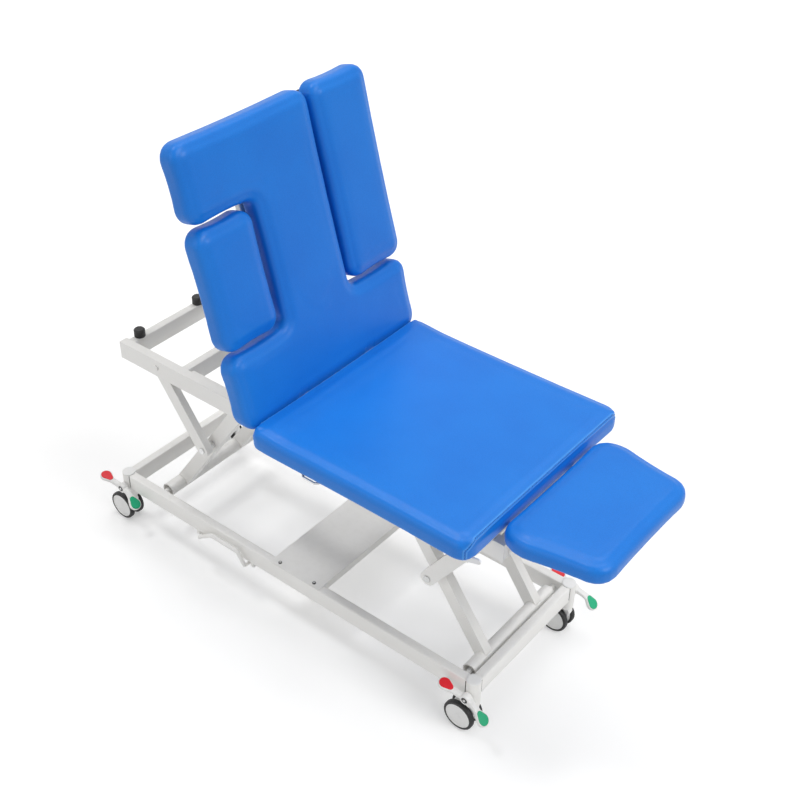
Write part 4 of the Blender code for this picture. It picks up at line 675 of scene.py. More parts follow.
@dataclass(frozen=True)
class BoardLaminate(Finish):
    """Dark laminated board with pressed fibres, as under the cushions."""

    name: str = "board"
    colour: Colour = (0.055, 0.053, 0.052)
    fibre: Colour = (0.085, 0.08, 0.075)
    chipped: Colour = (0.16, 0.13, 0.10)

    def dress(self, s: Surface) -> None:
        """Sets up fibres and chipped edges.

        Args:
            s: the surface to dress.
        """
        lines = s.effect(Effect.STREAKS, Scale=22.0)["Lines"]
        tone = s.effect(Effect.TONE, Slow=6.0, Fine=140.0)
        edge = s.effect(Effect.SOFT_EDGES, Radius=0.0010)
        base = s.mix(s.ramp(lines, 0.35, 0.7), self.colour, self.fibre)
        s.feed(Base_Color=s.mix(s.times(edge["Edge"], tone["Fine"]), base, self.chipped),
               Roughness=s.ramp(tone["Fine"], 0.0, 1.0, 0.5, 0.66))
        s.relief(lines, 0.10, 0.0003, edge["Normal"])


FINISHES: tuple[Finish, ...] = (
    CoatedSteel(), CoatedCover(), PlatedSteel(), BoardLaminate(),
    PlatedSteel("bright_rod", (0.83, 0.835, 0.84), 0.10),
    Moulding("rubber", (0.006, 0.006, 0.007), (0.010, 0.010, 0.011), 0.50, 700.0, 0.12, 0.06),
    Moulding("grey_plastic", (0.92, 0.92, 0.91), (0.89, 0.89, 0.88), 0.42, dust=0.06),
    Moulding("dark_plastic", (0.013, 0.013, 0.014), (0.020, 0.020, 0.021), 0.45, dust=0.08),
    Moulding("pedal_plastic", (0.87, 0.865, 0.85), (0.83, 0.825, 0.81), 0.42, dust=0.1),
    Moulding("lock_pad", (0.80, 0.010, 0.024), (0.72, 0.008, 0.020), 0.46, 520.0, 0.2, 0.03),
    Moulding("free_pad", (0.004, 0.42, 0.20), (0.003, 0.37, 0.17), 0.46, 520.0, 0.2, 0.03),
    # Painted shadow: a near-black finish for strips that stand for the shade in gaps.
    Moulding("dark_gap", (0.012, 0.012, 0.012), (0.02, 0.02, 0.02), 0.7),
    Moulding("thread", (0.13, 0.40, 0.86), (0.10, 0.34, 0.80), 0.6, 1800.0, 0.3, 0.0),
)


class Workshop:
    """All finishes of the table, made once, and the way to make pieces in them."""

    def __init__(self) -> None:
        """Makes each finish."""
        self.finishes = {finish.name: finish.make() for finish in FINISHES}

    def piece(self, name: str, shape: Shape, finish: str, body: str, slot: str | None = None,
              stands_for: str = "", sharp: float = 40.0) -> bpy.types.Object:
        """Turns a shape into a mesh that rides on a body of the table.

        Args:
            name: the piece's name.
            shape: its points and faces.
            finish: the name of its finish.
            body: the body that carries it.
            slot: the record's material slot, empty for none; the finish's own name if not given.
            stands_for: the node that it is shown instead of, if there is one.
            sharp: the angle between faces from which an edge stays sharp, in degrees.

        Returns:
            The new object.
        """
        mesh = bpy.data.meshes.new(name)
        mesh.from_pydata([tuple(p) for p in shape.points], [], shape.faces)
        work = bmesh.new()
        work.from_mesh(mesh)
        bmesh.ops.recalc_face_normals(work, faces=work.faces)
        work.to_mesh(mesh)
        work.free()
        mesh.shade_smooth()
        mesh.set_sharp_from_angle(angle=math.radians(sharp))
        return self.adopt(name, mesh, finish, body, finish if slot is None else slot, stands_for)

    def adopt(self, name: str, mesh: bpy.types.Mesh, finish: str, body: str, slot: str,
              stands_for: str) -> bpy.types.Object:
        """Puts a finished mesh into the scene and lets it ride on a body.

        Args:
            name: the piece's name.
            mesh: its finished mesh.
            finish: the name of its finish.
            body: the body that carries it.
            slot: not used.
            stands_for: the node that it is shown instead of, empty for none.

        Returns:
            The new object.
        """
        mesh.materials.clear()
        mesh.materials.append(self.finishes[finish])
        obj = placed(name, mesh)
        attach(obj, body)
        if stands_for:
            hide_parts(stands_for)
        LOG.info("piece %s: %d faces on %s", name, len(mesh.polygons), body)
        return obj


# Cushions


def rows_of(mesh: bpy.types.Mesh, what: str) -> np.ndarray:
    """Values of a mesh's points as rows of an array.

    Args:
        mesh: the mesh to read.
        what: the name of the values.

    Returns:
        One row of three values for each point.
    """
    flat = np.zeros(len(mesh.vertices) * 3, np.float32)
    mesh.vertices.foreach_get(what, flat)
    return flat.reshape(-1, 3).astype(float)


def points_of(mesh: bpy.types.Mesh) -> np.ndarray:
    """A mesh's points as rows of an array."""
    return rows_of(mesh, "co")


def normals_of(mesh: bpy.types.Mesh) -> np.ndarray:
    """A mesh's point normals as rows of an array."""
    return rows_of(mesh, "normal")


def set_points(mesh: bpy.types.Mesh, points: np.ndarray) -> None:
    """Moves a mesh's points to the rows of an array."""
    mesh.vertices.foreach_set("co", points.astype(np.float32).ravel())
    mesh.update()


def soften(mesh: bpy.types.Mesh, rounds: int) -> None:
    """Evens a mesh out, a little more with each round.

    Args:
        mesh: the mesh to change.
        rounds: how often each point moves halfway to its neighbours' middle.
    """
    work = bmesh.new()
    work.from_mesh(mesh)
    for _ in range(rounds):
        bmesh.ops.smooth_vert(work, verts=work.verts, factor=0.5, use_axis_x=True, use_axis_y=True,
                              use_axis_z=True)
    work.to_mesh(mesh)
    work.free()
    mesh.update()


def evaluated_copy(obj: bpy.types.Object) -> bpy.types.Mesh:
    """A new mesh of the object with its modifiers applied."""
    graph = bpy.context.evaluated_depsgraph_get()
    return bpy.data.meshes.new_from_object(obj.evaluated_get(graph))


def face_tree(mesh: bpy.types.Mesh) -> BVHTree:
    """A mesh's faces, ready for rays and for the nearest spot."""
    return BVHTree.FromPolygons([v.co for v in mesh.vertices], [p.vertices for p in mesh.polygons])


def eased(share: np.ndarray | float) -> np.ndarray | float:
    """A share from 0 to 1 that starts and ends gently."""
    return share * share * (3 - 2 * share)


def squared(u: np.ndarray, v: np.ndarray, power: float) -> np.ndarray:
    """How much a round edge grows to become a crisp one, never past its two flat sides.

    Args:
        u: how far out each point lies towards the first side, 1 on it.
        v: how far out each point lies towards the second side, 1 on it.
        power: how crisp the edge gets, 2 for a round one.

    Returns:
        The share by which each point's distance grows.
    """
    inside = (u > 1e-3) & (v > 1e-3)
    u, v = np.maximum(u, 1e-3), np.maximum(v, 1e-3)
    grow = np.hypot(u, v) / (u ** power + v ** power) ** (1 / power) - 1.0
    grow = np.minimum(grow, np.maximum(1.0 / np.maximum(u, v) - 1.0, 0.0))
    return np.where(inside, grow, 0.0)


@dataclass(frozen=True)
class Bulge:
    """A place where a cover leans out further than its foam, such as towards a neighbour."""

    edge: Triple
    inward: Triple
    push: Triple
    width: float
    up: Triple = UP
    base: float = -9.0
    hinge_y: float = 9.0
    base_fade: float = 0.05
    hinge_half: float = 0.009
    hinge_fade: float = 0.012
    at_hinge: float = 0.8

    def moved(self, points: np.ndarray) -> np.ndarray:
        """Pushes points out, most at the edge, less at the hinges, not at the base.

        Args:
            points: the cover's points as rows.

        Returns:
            The moved points.
        """
        gap = (points - np.array(self.edge)) @ np.array(self.inward)
        share = eased(np.clip(1.0 - gap / self.width, 0.0, 1.0))
        share *= np.clip((points @ np.array(self.up) - self.base) / self.base_fade, 0.0, 1.0)
        beside = np.abs(np.abs(points[:, 1]) - self.hinge_y) - self.hinge_half
        share *= np.clip(beside / self.hinge_fade, self.at_hinge, 1.0)
        return points + share[:, None] * np.array(self.push)


@dataclass(frozen=True)
class SquareEnd:
    """An end where the cover is sewn round a flat panel, so that its top edge is crisp."""

    end_x: float
    outward: int
    top: float
    deep: float = 0.036
    high: float = 0.022
    power: float = 6.0
    facing_from: float = 0.55
    facing_span: float = 0.3

    def moved(self, points: np.ndarray, normals: np.ndarray) -> np.ndarray:
        """Draws the round top edge of this end out to a crisp one.

        Args:
            points: the cover's points as rows.
            normals: their normals, which tell the end from the sides.

        Returns:
            The moved points.
        """
        u = np.maximum(1.0 - self.outward * (self.end_x - points[:, 0]) / self.deep, 0.0)
        v = np.maximum(1.0 - (self.top - points[:, 2]) / self.high, 0.0)
        level = np.maximum(np.linalg.norm(normals[:, :2], axis=1), 1e-6)
        turn = (self.outward * normals[:, 0] / level - self.facing_from) / self.facing_span
        share = eased(np.clip(turn, 0.0, 1.0)) * squared(u, v, self.power)
        result = points.copy()
        result[:, 0] += self.outward * share * u * self.deep
        result[:, 2] += share * v * self.high
        return result


@dataclass(frozen=True)
class SquareCorners:
    """An end whose two corners are squarer in plan than the foam's."""

    end_x: float
    outward: int
    half_width: float
    radius: float = 0.044
    power: float = 5.0

    def moved(self, points: np.ndarray) -> np.ndarray:
        """Draws both corners of this end out.

        Args:
            points: the cover's points as rows.

        Returns:
            The moved points.
        """
        u = np.maximum(1.0 - self.outward * (self.end_x - points[:, 0]) / self.radius, 0.0)
        v = np.maximum(1.0 - (self.half_width - np.abs(points[:, 1])) / self.radius, 0.0)
        share = squared(u, v, self.power) * self.radius
        result = points.copy()
        result[:, 0] += self.outward * share * u
        result[:, 1] += np.sign(points[:, 1]) * share * v
        return result


@dataclass
class Cushion:
    """A foam pad in a sewn cover: the solid's form on a fine grid, blown up by a cloth simulation."""

    node: str
    body: str
    out: Triple
    shop: Workshop
    stretch: float = 1.0
    bulges: tuple[Bulge, ...] = ()
    ends: tuple[SquareEnd, ...] = ()
    corners: tuple[SquareCorners, ...] = ()
    voxel: float = 0.006
    tuck: float = 0.0040
    swell: float = 0.0065
    rounding: int = 6
    proud: float = 0.0015
    most_gain: float = 0.010
    flat_depth: float = 0.002
    lift_depth: float = 0.012
    pressed_frames: int = 20
    fill: float = 0.85

    def build(self) -> bpy.types.Object:
        """Makes the padded cover and lets it stand for the solid.

        Returns:
            The cover, riding on its body.
        """
        solid = self._solid()
        mesh = self._grid(solid)
        self._inflate(mesh)
        self._fill_out(mesh, face_tree(solid))
        bpy.data.meshes.remove(solid)
        mesh = self._refined(mesh)
        self._tailor(mesh)
        name = self.node.replace("_cushion", "_cover")
        cover = self.shop.adopt(name, mesh, "leatherette", self.body, "leatherette", self.node)
        return cover

    def _solid(self) -> bpy.types.Mesh:
        """A copy of the solid with its corners joined up.

        Returns:
            The new mesh.
        """
        work = bmesh.new()
        work.from_mesh(frame["nodes"][self.node].data)
        bmesh.ops.remove_doubles(work, verts=work.verts, dist=1e-6)
        solid = bpy.data.meshes.new("solid")
        work.to_mesh(solid)
        work.free()
        return solid

    def _grid(self, solid: bpy.types.Mesh) -> bpy.types.Mesh:
        """The solid's own form as an even grid, with softened edges and drawn in a little.

        Args:
            solid: the solid's mesh.

        Returns:
            The mesh of the grid.
        """
        holder = placed("grid_source", solid)
        remesh = holder.modifiers.new("grid", "REMESH")
        remesh.mode = "VOXEL"
        remesh.voxel_size = self.voxel
        remesh.adaptivity = 0.0
        mesh = evaluated_copy(holder)
        bpy.data.objects.remove(holder)
        soften(mesh, self.rounding)
        points = points_of(mesh)
        set_points(mesh, points - normals_of(mesh) * self.tuck * self._lift(points))
        return mesh

    def _lift(self, points: np.ndarray) -> np.ndarray:
        """How free points are, from 0 on the flat underside to 1 above it.

        Args:
            points: the cover's points as rows.

        Returns:
            One row of one value for each point.
        """
        out = Vector(self.out)
        floor = min(v.co.dot(out) for v in frame["nodes"][self.node].data.vertices)
        depth = points @ np.array(self.out) - floor
        return np.clip((depth - self.flat_depth) / self.lift_depth, 0.0, 1.0)[:, None]

    def _inflate(self, mesh: bpy.types.Mesh) -> None:
        """Blows the cover up with the cloth simulation and caps how far each point moves.

        Args:
            mesh: the cover's grid, which is changed.
        """
        start = points_of(mesh)
        moved = self._pressed(mesh) - start
        length = np.linalg.norm(moved, axis=1, keepdims=True)
        LOG.info("%s swells by %.1f mm at the median", self.node, float(np.median(length)) * 1000)
        moved *= np.minimum(1.0, self.swell / np.maximum(length, 1e-9))
        set_points(mesh, start + moved * self._lift(start))
        soften(mesh, 3)

    def _pressed(self, mesh: bpy.types.Mesh) -> np.ndarray:
        """Runs the cloth simulation under pressure, with the cover held at its underside.

        Args:
            mesh: the cover's grid, which stays as it is.

        Returns:
            The points at the end, as rows.
        """
        scene = bpy.context.scene
        holder = placed("swelling", mesh)
        pins = holder.vertex_groups.new(name="held")
        flat = np.flatnonzero(self._lift(points_of(mesh))[:, 0] < 0.2)
        pins.add([int(i) for i in flat], 1.0, "REPLACE")
        cloth = holder.modifiers.new("swell", "CLOTH")
        settings = {"quality": 4, "mass": 0.25, "tension_stiffness": 18, "compression_stiffness": 18,
                    "bending_stiffness": 4, "use_pressure": True, "uniform_pressure_force": 4,
                    "vertex_group_mass": "held"}
        for key, value in settings.items():
            setattr(cloth.settings, key, value)
        cloth.settings.effector_weights.gravity = 0
        cloth.collision_settings.use_collision = False
        cloth.collision_settings.use_self_collision = False
        cloth.point_cache.frame_start = 1
        cloth.point_cache.frame_end = self.pressed_frames
        for step in range(1, self.pressed_frames + 1):
            scene.frame_set(step)
        result = evaluated_copy(holder)
        ends = points_of(result)
        bpy.data.objects.remove(holder)
        bpy.data.meshes.remove(result)
        scene.frame_set(1)
        return ends

    def _fill_out(self, mesh: bpy.types.Mesh, foam: BVHTree) -> None:
        """Brings the cover out to the foam wherever it lies inside it.

        Args:
            mesh: the cover, which is changed.
            foam: the faces of the foam's solid.
        """
        for _ in range(2):
            points = points_of(mesh)
            short = np.zeros((len(points), 1))
            for i, point in enumerate(points):
                near, normal, _, _ = foam.find_nearest(Vector(point))
                short[i] = self.proud - (Vector(point) - near).dot(normal)
            gain = np.clip(short, 0.0, self.most_gain) * self._lift(points)
            set_points(mesh, points + normals_of(mesh) * gain)
            soften(mesh, 1)

    def _refined(self, mesh: bpy.types.Mesh) -> bpy.types.Mesh:
        """The cover with one subdivision applied.

        Args:
            mesh: the cover, which is used up.

        Returns:
            The finer mesh.
        """
        holder = placed("refined", mesh)
        finer = holder.modifiers.new("finer", "SUBSURF")
        finer.levels = 1
        finer.render_levels = 1
        result = evaluated_copy(holder)
        bpy.data.objects.remove(holder)
        bpy.data.meshes.remove(mesh)
        result.shade_smooth()
        return result

    def _tailor(self, mesh: bpy.types.Mesh) -> None:
        """Gives the cover its full width, its bulges, its corners and its crisp ends.

        Args:
            mesh: the cover, which is changed.
        """
        points = points_of(mesh)
        points[:, 1] *= self.stretch
        for change in (*self.bulges, *self.corners):
            points = change.moved(points)
        set_points(mesh, points)
        normals = normals_of(mesh)
        for end in self.ends:
            points = end.moved(points, normals)
        set_points(mesh, points)


@dataclass
class EndSeam:
    """The sewn seam round an end panel of the seat cover: a groove, a welt and two rows of stitches."""

    cover: bpy.types.Object
    shop: Workshop
    end_x: float
    outward: int
    half_width: float
    top: float = 0.81
    low: float = 0.747
    corner: float = 0.040
    core_inset: float = 0.02
    core_drop: float = 0.03
    turn_run: float = 0.012
    slope: float = 0.9
    steps: tuple[int, int, int] = (14, 8, 80)
    ray: float = 0.2
    line_step: float = 0.0015
    reaches: tuple[float, float] = (0.012, 0.007)
    groove: float = 0.0016
    groove_width: float = 0.0013
    mark_width: float = 0.0011
    welt: float = 0.0009
    welt_gap: float = 0.0042
    welt_width: float = 0.0020
    pitch: float = 0.0056
    stitch: float = 0.0036
    spacing: float = 0.0034
    thread: float = 0.00055
    thread_lift: float = 0.0002

    def _path(self, tree: BVHTree) -> list[Vector]:
        """The seam's line on the cover: up one corner, across the top edge and down the other.

        Args:
            tree: the cover's faces, for the rays that find its surface.

        Returns:
            The points of the line.
        """
        o = self.outward
        inset = self.corner * (1 - 1 / math.sqrt(2)) + self.core_inset
        x, y_in = self.end_x - o * inset, self.half_width - inset
        rise = self.top - self.core_drop
        up, turn, across = self.steps
        side = [(Vector((x, -y_in, self.low + (rise - self.low) * k / up)), Vector((o, -1.0, 0.0)))
                for k in range(up)]
        for k in range(turn + 1):
            t = k / turn
            side.append((Vector((x, -y_in + self.turn_run * t, rise)), Vector((o, t - 1.0, self.slope * t))))
        middle = [(Vector((x, (-y_in + self.turn_run) * (1 - 2 * k / across), rise)),
                   Vector((o, 0.0, self.slope))) for k in range(1, across)]
        mirror = Matrix.Diagonal((1.0, -1.0, 1.0))
        other = [(mirror @ core, mirror @ way) for core, way in reversed(side)]
        points = []
        for core, direction in side + middle + other:
            way = direction.normalized()
            hit = tree.ray_cast(core + way * self.ray, -way)[0]
            if hit is not None:
                points.append(hit)
        return points

    def sew(self) -> None:
        """Presses the groove into the cover and lays the stitches."""
        mesh = self.cover.data
        line = resampled(self._path(face_tree(mesh)), self.line_step)
        self._press(mesh, line)
        tree = face_tree(mesh)
        name = "seat_stitches_head" if self.outward < 0 else "seat_stitches_foot"
        shape = joined(self._row(tree, line, side) for side in (-1, 1))
        self.shop.piece(name, shape, "thread", "upper_frame", "leatherette", sharp=60)
        LOG.info("seam at x %.3f: %d points", self.end_x, len(line))

    def _press(self, mesh: bpy.types.Mesh, line: list[Vector]) -> None:
        """Refines the cover near the line, presses the groove in and marks where the finish paints crease
        shade along the groove and a highlight along the welt.

        Args:
            mesh: the cover, which is changed.
            line: the seam's points.
        """
        near = KDTree(len(line))
        for i, point in enumerate(line):
            near.insert(point, i)
        near.balance()
        work = bmesh.new()
        work.from_mesh(mesh)
        for reach in self.reaches:
            edges = [e for e in work.edges if near.find((e.verts[0].co + e.verts[1].co) / 2)[2] < reach]
            bmesh.ops.subdivide_edges(work, edges=edges, cuts=1, use_grid_fill=True, smooth=0.0)
        work.normal_update()
        marks = work.verts.layers.float
        for name in ("seam", "welt"):
            if marks.get(name) is None:
                marks.new(name)
        seam_shade_mark, welt_highlight_mark = marks["seam"], marks["welt"]
        for vert in work.verts:
            gap = near.find(vert.co)[2]
            if gap > self.reaches[0]:
                continue
            valley = math.exp(-(gap / self.groove_width) ** 2)
            welt = math.exp(-((gap - self.welt_gap) / self.welt_width) ** 2)
            # These marks place painted light: crease shade along the groove and a highlight along the welt.
            vert[seam_shade_mark] = max(vert[seam_shade_mark], math.exp(-(gap / self.mark_width) ** 2))
            vert[welt_highlight_mark] = max(vert[welt_highlight_mark], welt)
            vert.co += vert.normal * (self.welt * welt - self.groove * valley)
        work.to_mesh(mesh)
        work.free()
        mesh.shade_smooth()

    def _row(self, tree: BVHTree, line: list[Vector], side: int) -> Shape:
        """One row of stitches beside the line.

        Args:
            tree: the cover's faces.
            line: the seam's points.
            side: on which side of the line the row lies, -1 or 1.

        Returns:
            The stitches.
        """
        marks = resampled(line, self.pitch)
        row = Shape()
        for i in range(1, len(marks) - 1):
            along = (marks[i + 1] - marks[i - 1]).normalized()
            near, normal, _, _ = tree.find_nearest(marks[i])
            place = near + along.cross(normal).normalized() * side * self.spacing
            near, normal, _, _ = tree.find_nearest(place)
            half, lift = along * self.stitch / 2, normal * self.thread_lift
            path = [near - half - lift, near - half * 0.7 + lift, near + lift * 1.4,
                    near + half * 0.7 + lift, near + half - lift]
            row.add(swept(path, self.thread, 6))
        return row


@dataclass
class Upholstery:
    """The five padded covers of the table."""

    shop: Workshop
    lean: float = math.radians(15)
    stretch: float = 1.045
    head_out: float = 0.0022
    head_rise: float = 0.0058
    foot_rise: float = 0.0015
    corner_out: tuple[float, float] = (0.0036, 0.0014)
    seat_push: Triple = (-0.0035, 0, 0.0060)
    seat_push_width: float = 0.12
    back_sag: float = 0.0130
    back_sag_width: float = 0.10
    hinge_y: float = 0.1448
    leg_push: Triple = (-0.020, 0, 0)
    leg_push_width: float = 0.08

    def build(self) -> None:
        """Makes every cover, then sews the seat's end panels."""
        lo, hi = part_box("seat_cushion")
        ends = (SquareEnd(lo.x - self.head_out, -1, hi.z + self.head_rise),
                SquareEnd(hi.x, 1, hi.z + self.foot_rise))
        corners = (SquareCorners(lo.x - self.corner_out[0], -1, self.stretch * hi.y + self.corner_out[1]),)
        rise = Bulge((lo.x, 0, 0), (1, 0, 0), self.seat_push, self.seat_push_width, UP, lo.z)
        seat = Cushion("seat_cushion", "upper_frame", UP, self.shop, self.stretch, (rise,), ends, corners)
        cover = seat.build()
        face = (math.cos(self.lean), 0.0, math.sin(self.lean))
        for node, body, bulges in (("back_cushion", "backrest", (self._sag(face),)),
                                   ("near_wing_cushion", "near_wing", ()),
                                   ("far_wing_cushion", "far_wing", ())):
            Cushion(node, body, face, self.shop, self.stretch, bulges).build()
        leg_lo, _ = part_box("leg_cushion")
        reach = Bulge((leg_lo.x, 0, 0), (1, 0, 0), self.leg_push, self.leg_push_width)
        Cushion("leg_cushion", "leg_section", UP, self.shop, self.stretch, (reach,)).build()
        for end_x, outward in ((lo.x, -1), (hi.x, 1)):
            EndSeam(cover, self.shop, end_x, outward, self.stretch * hi.y).sew()

    def _sag(self, face: Triple) -> Bulge:
        """The backrest's foot, which sags towards the seat.

        Args:
            face: the way that the backrest faces.

        Returns:
            The bulge of its cover.
        """
        along = Vector((-math.sin(self.lean), 0.0, math.cos(self.lean)))
        corners = [v.co for v in frame["nodes"]["back_cushion"].data.vertices]
        foot = min(corners, key=along.dot)
        floor = min(c.dot(Vector(face)) for c in corners)
        return Bulge(tuple(foot), tuple(along), tuple(along * -self.back_sag), self.back_sag_width, face,
                     floor, self.hinge_y)


# Casters and pedals


@dataclass
class TwinWheel:
    """The two wheels of a caster: tyres, domed discs and the axle."""

    end: End
    side: Side
    shop: Workshop
    radius: float = 0.050
    rim: float = 0.0415
    outer: float = 0.029
    inner: float = 0.0115
    axle: float = 0.006
    trail: float = 0.030
    post_y: float = 0.245
    shoulder: tuple[float, float] = (0.0050, 0.0045)
    tread: float = 0.0022

    def _tyre(self) -> Profile:
        """The closed profile of one tyre, with two fine tread grooves.

        Returns:
            Its points as (radius, height), from the wheel's outer face to its inner one.
        """
        r, a, b = self.radius, self.inner, self.outer
        deep, high = self.shoulder
        arc = []
        for k in range(9):
            t = math.pi / 2 * k / 8
            arc.append((r - deep + deep * math.sin(t), b - high + high * math.cos(t)))
        tread = []
        for middle in ((a + b) / 2 + self.tread, (a + b) / 2 - self.tread):
            tread += [(r, middle + 0.0006), (r - 0.0007, middle + 0.0003), (r - 0.0007, middle - 0.0003),
                      (r, middle - 0.0006)]
        back = [(x, a + b - h) for x, h in reversed(arc)]
        bead = self.rim - 0.0002
        return [(bead, b - 0.0004), (bead + 0.0012, b), *arc, *tread, *back, (bead + 0.0012, a),
                (bead, a + 0.0004)]

    def _disc(self) -> Profile:
        """The profile of one wheel disc: rim bead, shallow dome and a small centre cap.

        Returns:
            Its points as (radius, height), from the middle of the inner face round to the cap.
        """
        b, rim, floor = self.outer, self.rim, self.inner + 0.0004
        back = [(0, floor), (0.0065, floor), (rim - 0.002, floor), (rim - 0.0004, self.inner + 0.001)]
        face = [(rim - 0.0004, b - 0.0006), (rim - 0.0012, b - 0.0002), (rim - 0.0024, b - 0.0002),
                (rim - 0.0032, b - 0.0010), (rim - 0.0042, b - 0.0024), (rim - 0.0060, b - 0.0026),
                (rim - 0.0095, b - 0.0022), (0.022, b - 0.0014), (0.0105, b - 0.0010)]
        cap = [(0.0095, b - 0.00095), (0.0085, b - 0.0009), (0.0080, b - 0.0003), (0.0055, b - 0.0001),
               (0, b)]
        return back + face + cap

    def build(self) -> None:
        """Makes the tyres and the discs with their axle, in place of the plain wheels."""
        corner = f"{self.end.name.lower()}_{self.side.name.lower()}"
        node = f"wheels_{corner}"
        hub = (self.end.value - self.trail, self.side.value * self.post_y, self.radius)
        places = [axis_place(hub, (0, way, 0)) for way in (1, -1)]
        tyres = joined(turned(self._tyre(), 72, ring=True).moved(p) for p in places)
        discs = joined(turned(self._disc(), 64).moved(p) for p in places)
        discs.add(rod(self.axle, self.inner).moved(places[0]))
        self.shop.piece(f"tyres_{corner}", tyres, "rubber", node, stands_for=node)
        self.shop.piece(f"discs_{corner}", discs, "grey_plastic", node, stands_for=node)


@dataclass
class BrakeRockers:
    """The brake bar of one end with two rocker pedals and their coloured pads.

    The tips of a rocker are given from its hub: along the table, up, and the paddle's tilt.
    """

    end: End
    shop: Workshop
    bar_z: float = 0.152
    bar_radius: float = 0.006
    bar_past: float = 0.0075
    middle: float = 0.278
    hub: float = 0.0165
    hub_bore: float = 0.0063
    hub_half: float = 0.0104
    lock: Triple = (-0.0644, 0.018, math.radians(12))
    free: Triple = (0.060, -0.030, math.radians(45))
    pad_out: float = 0.009
    pad_length: float = 0.051
    wide: float = 0.0200
    narrow: float = 0.0128
    thick: float = 0.0056
    arm_half: float = 0.0092
    outline: int = 56

    def _drop(self, grow: float) -> list[Vector]:
        """A drop-shaped outline round the origin, its round end towards +X.

        Args:
            grow: how far the outline lies outside the paddle's own.

        Returns:
            The points in the XY plane, in order round the outline.
        """
        big, small = self.wide, self.narrow
        far, near = self.pad_length / 2 - big, small - self.pad_length / 2
        swing = math.pi / 2 + math.asin((big - small) / (far - near))
        half = self.outline // 2
        points = []
        bows = ((far, big, -swing, 2 * swing), (near, small, swing, FULL_TURN - 2 * swing))
        for x, size, first, span in bows:
            for k in range(half):
                t = first + span * k / (half - 1)
                points.append(Vector((x, 0, 0)) + (size + grow) * Vector((math.cos(t), math.sin(t), 0)))
        return points

    def _slab(self, layers: Profile) -> Shape:
        """A drop-shaped slab from (growth, height) layers."""
        return lofted([[p + Vector((0, 0, h)) for p in self._drop(g)] for g, h in layers])

    def _paddle_place(self, tip: Triple, side: Side) -> Matrix:
        """Where a paddle lies from the hub: its X axis points out along the arm.

        Args:
            tip: the paddle's tip.
            side: the side of the table.

        Returns:
            The paddle's placement.
        """
        x, z, tilt = tip
        along = Vector((math.cos(tilt), 0, -math.sin(tilt)))
        up = Vector((math.sin(tilt), 0, math.cos(tilt)))
        ahead = along if x > 0 else -along
        turn = Matrix((ahead, up.cross(ahead), up)).transposed().to_4x4()
        return Matrix.Translation((x, side.value * self.pad_out, z)) @ turn

    def _arm(self, tip: Triple, side: Side) -> Shape:
        """The bent arm from the hub into the paddle, as rings of a rounded section.

        Args:
            tip: the paddle's tip.
            side: the side of the table.

        Returns:
            The arm, with the hub at the origin.
        """
        place = self._paddle_place(tip, side)
        ahead = (place.to_3x3() @ Vector((1, 0, 0))).normalized()
        start, end = Vector((0, 0, 0)), place @ Vector((-0.004, 0, 0))
        first, second = Vector((tip[0] * 0.42, 0, tip[1] * 0.05)), end - ahead * 0.026
        across = Vector((0, 1, 0))
        rings = []
        for k in range(19):
            t = k / 18
            point = ((1 - t) ** 3 * start + 3 * t * (1 - t) ** 2 * first + 3 * t * t * (1 - t) * second
                     + t ** 3 * end)
            way = (3 * (1 - t) ** 2 * (first - start) + 6 * t * (1 - t) * (second - first)
                   + 3 * t * t * (end - second)).normalized()
            up = across.cross(way).normalized()
            up = -up if up.z < 0 else up
            half = self.arm_half + (self.narrow - self.arm_half) * t ** 3
            rise = self.arm_half + (self.thick - 0.0008 - self.arm_half) * t
            rings.append([point + across * half * math.copysign(abs(c) ** 0.5, c)
                          + up * rise * math.copysign(abs(s) ** 0.5, s) for c, s in circle(24)])
        return lofted(rings)

    def _rocker(self, side: Side) -> Shape:
        """Hub, arms and paddles of one rocker, round the brake bar.

        Args:
            side: the side of the table.

        Returns:
            The rocker, with its hub at the origin.
        """
        h, e, r = self.hub, self.hub_half, self.thick
        edge = [(self.hub_bore, e), (h - 0.0020, e), (h - 0.0006, e - 0.0006), (h, e - 0.0020)]
        shell = [(x, -z) for x, z in edge] + edge[::-1]
        rocker = turned(shell, 48, ring=True).moved(axis_place((0, 0, 0), (0, 1, 0)))
        layers = [(-0.0022, -r), (-0.0006, -r + 0.0006), (0.0, -r + 0.0022), (0.0, r - 0.0020),
                  (-0.0005, r - 0.0007), (-0.0018, r), (-0.0026, r), (-0.0028, r - 0.0012)]
        for tip in (self.lock, self.free):
            rocker.add(self._arm(tip, side))
            rocker.add(self._slab(layers).moved(self._paddle_place(tip, side)))
        return rocker

    def _pad(self, tip: Triple, side: Side) -> Shape:
        """The coloured inlay in a paddle, with a rounded edge and a raised middle.

        Args:
            tip: the paddle's tip.
            side: the side of the table.

        Returns:
            The inlay, with the hub at the origin.
        """
        r = self.thick
        layers = [(-0.0031, r - 0.0011), (-0.0031, r + 0.0004), (-0.0035, r + 0.0011), (-0.0044, r + 0.0015),
                  (-0.0075, r + 0.0017), (-0.0110, r + 0.0018)]
        return self._slab(layers).moved(self._paddle_place(tip, side))

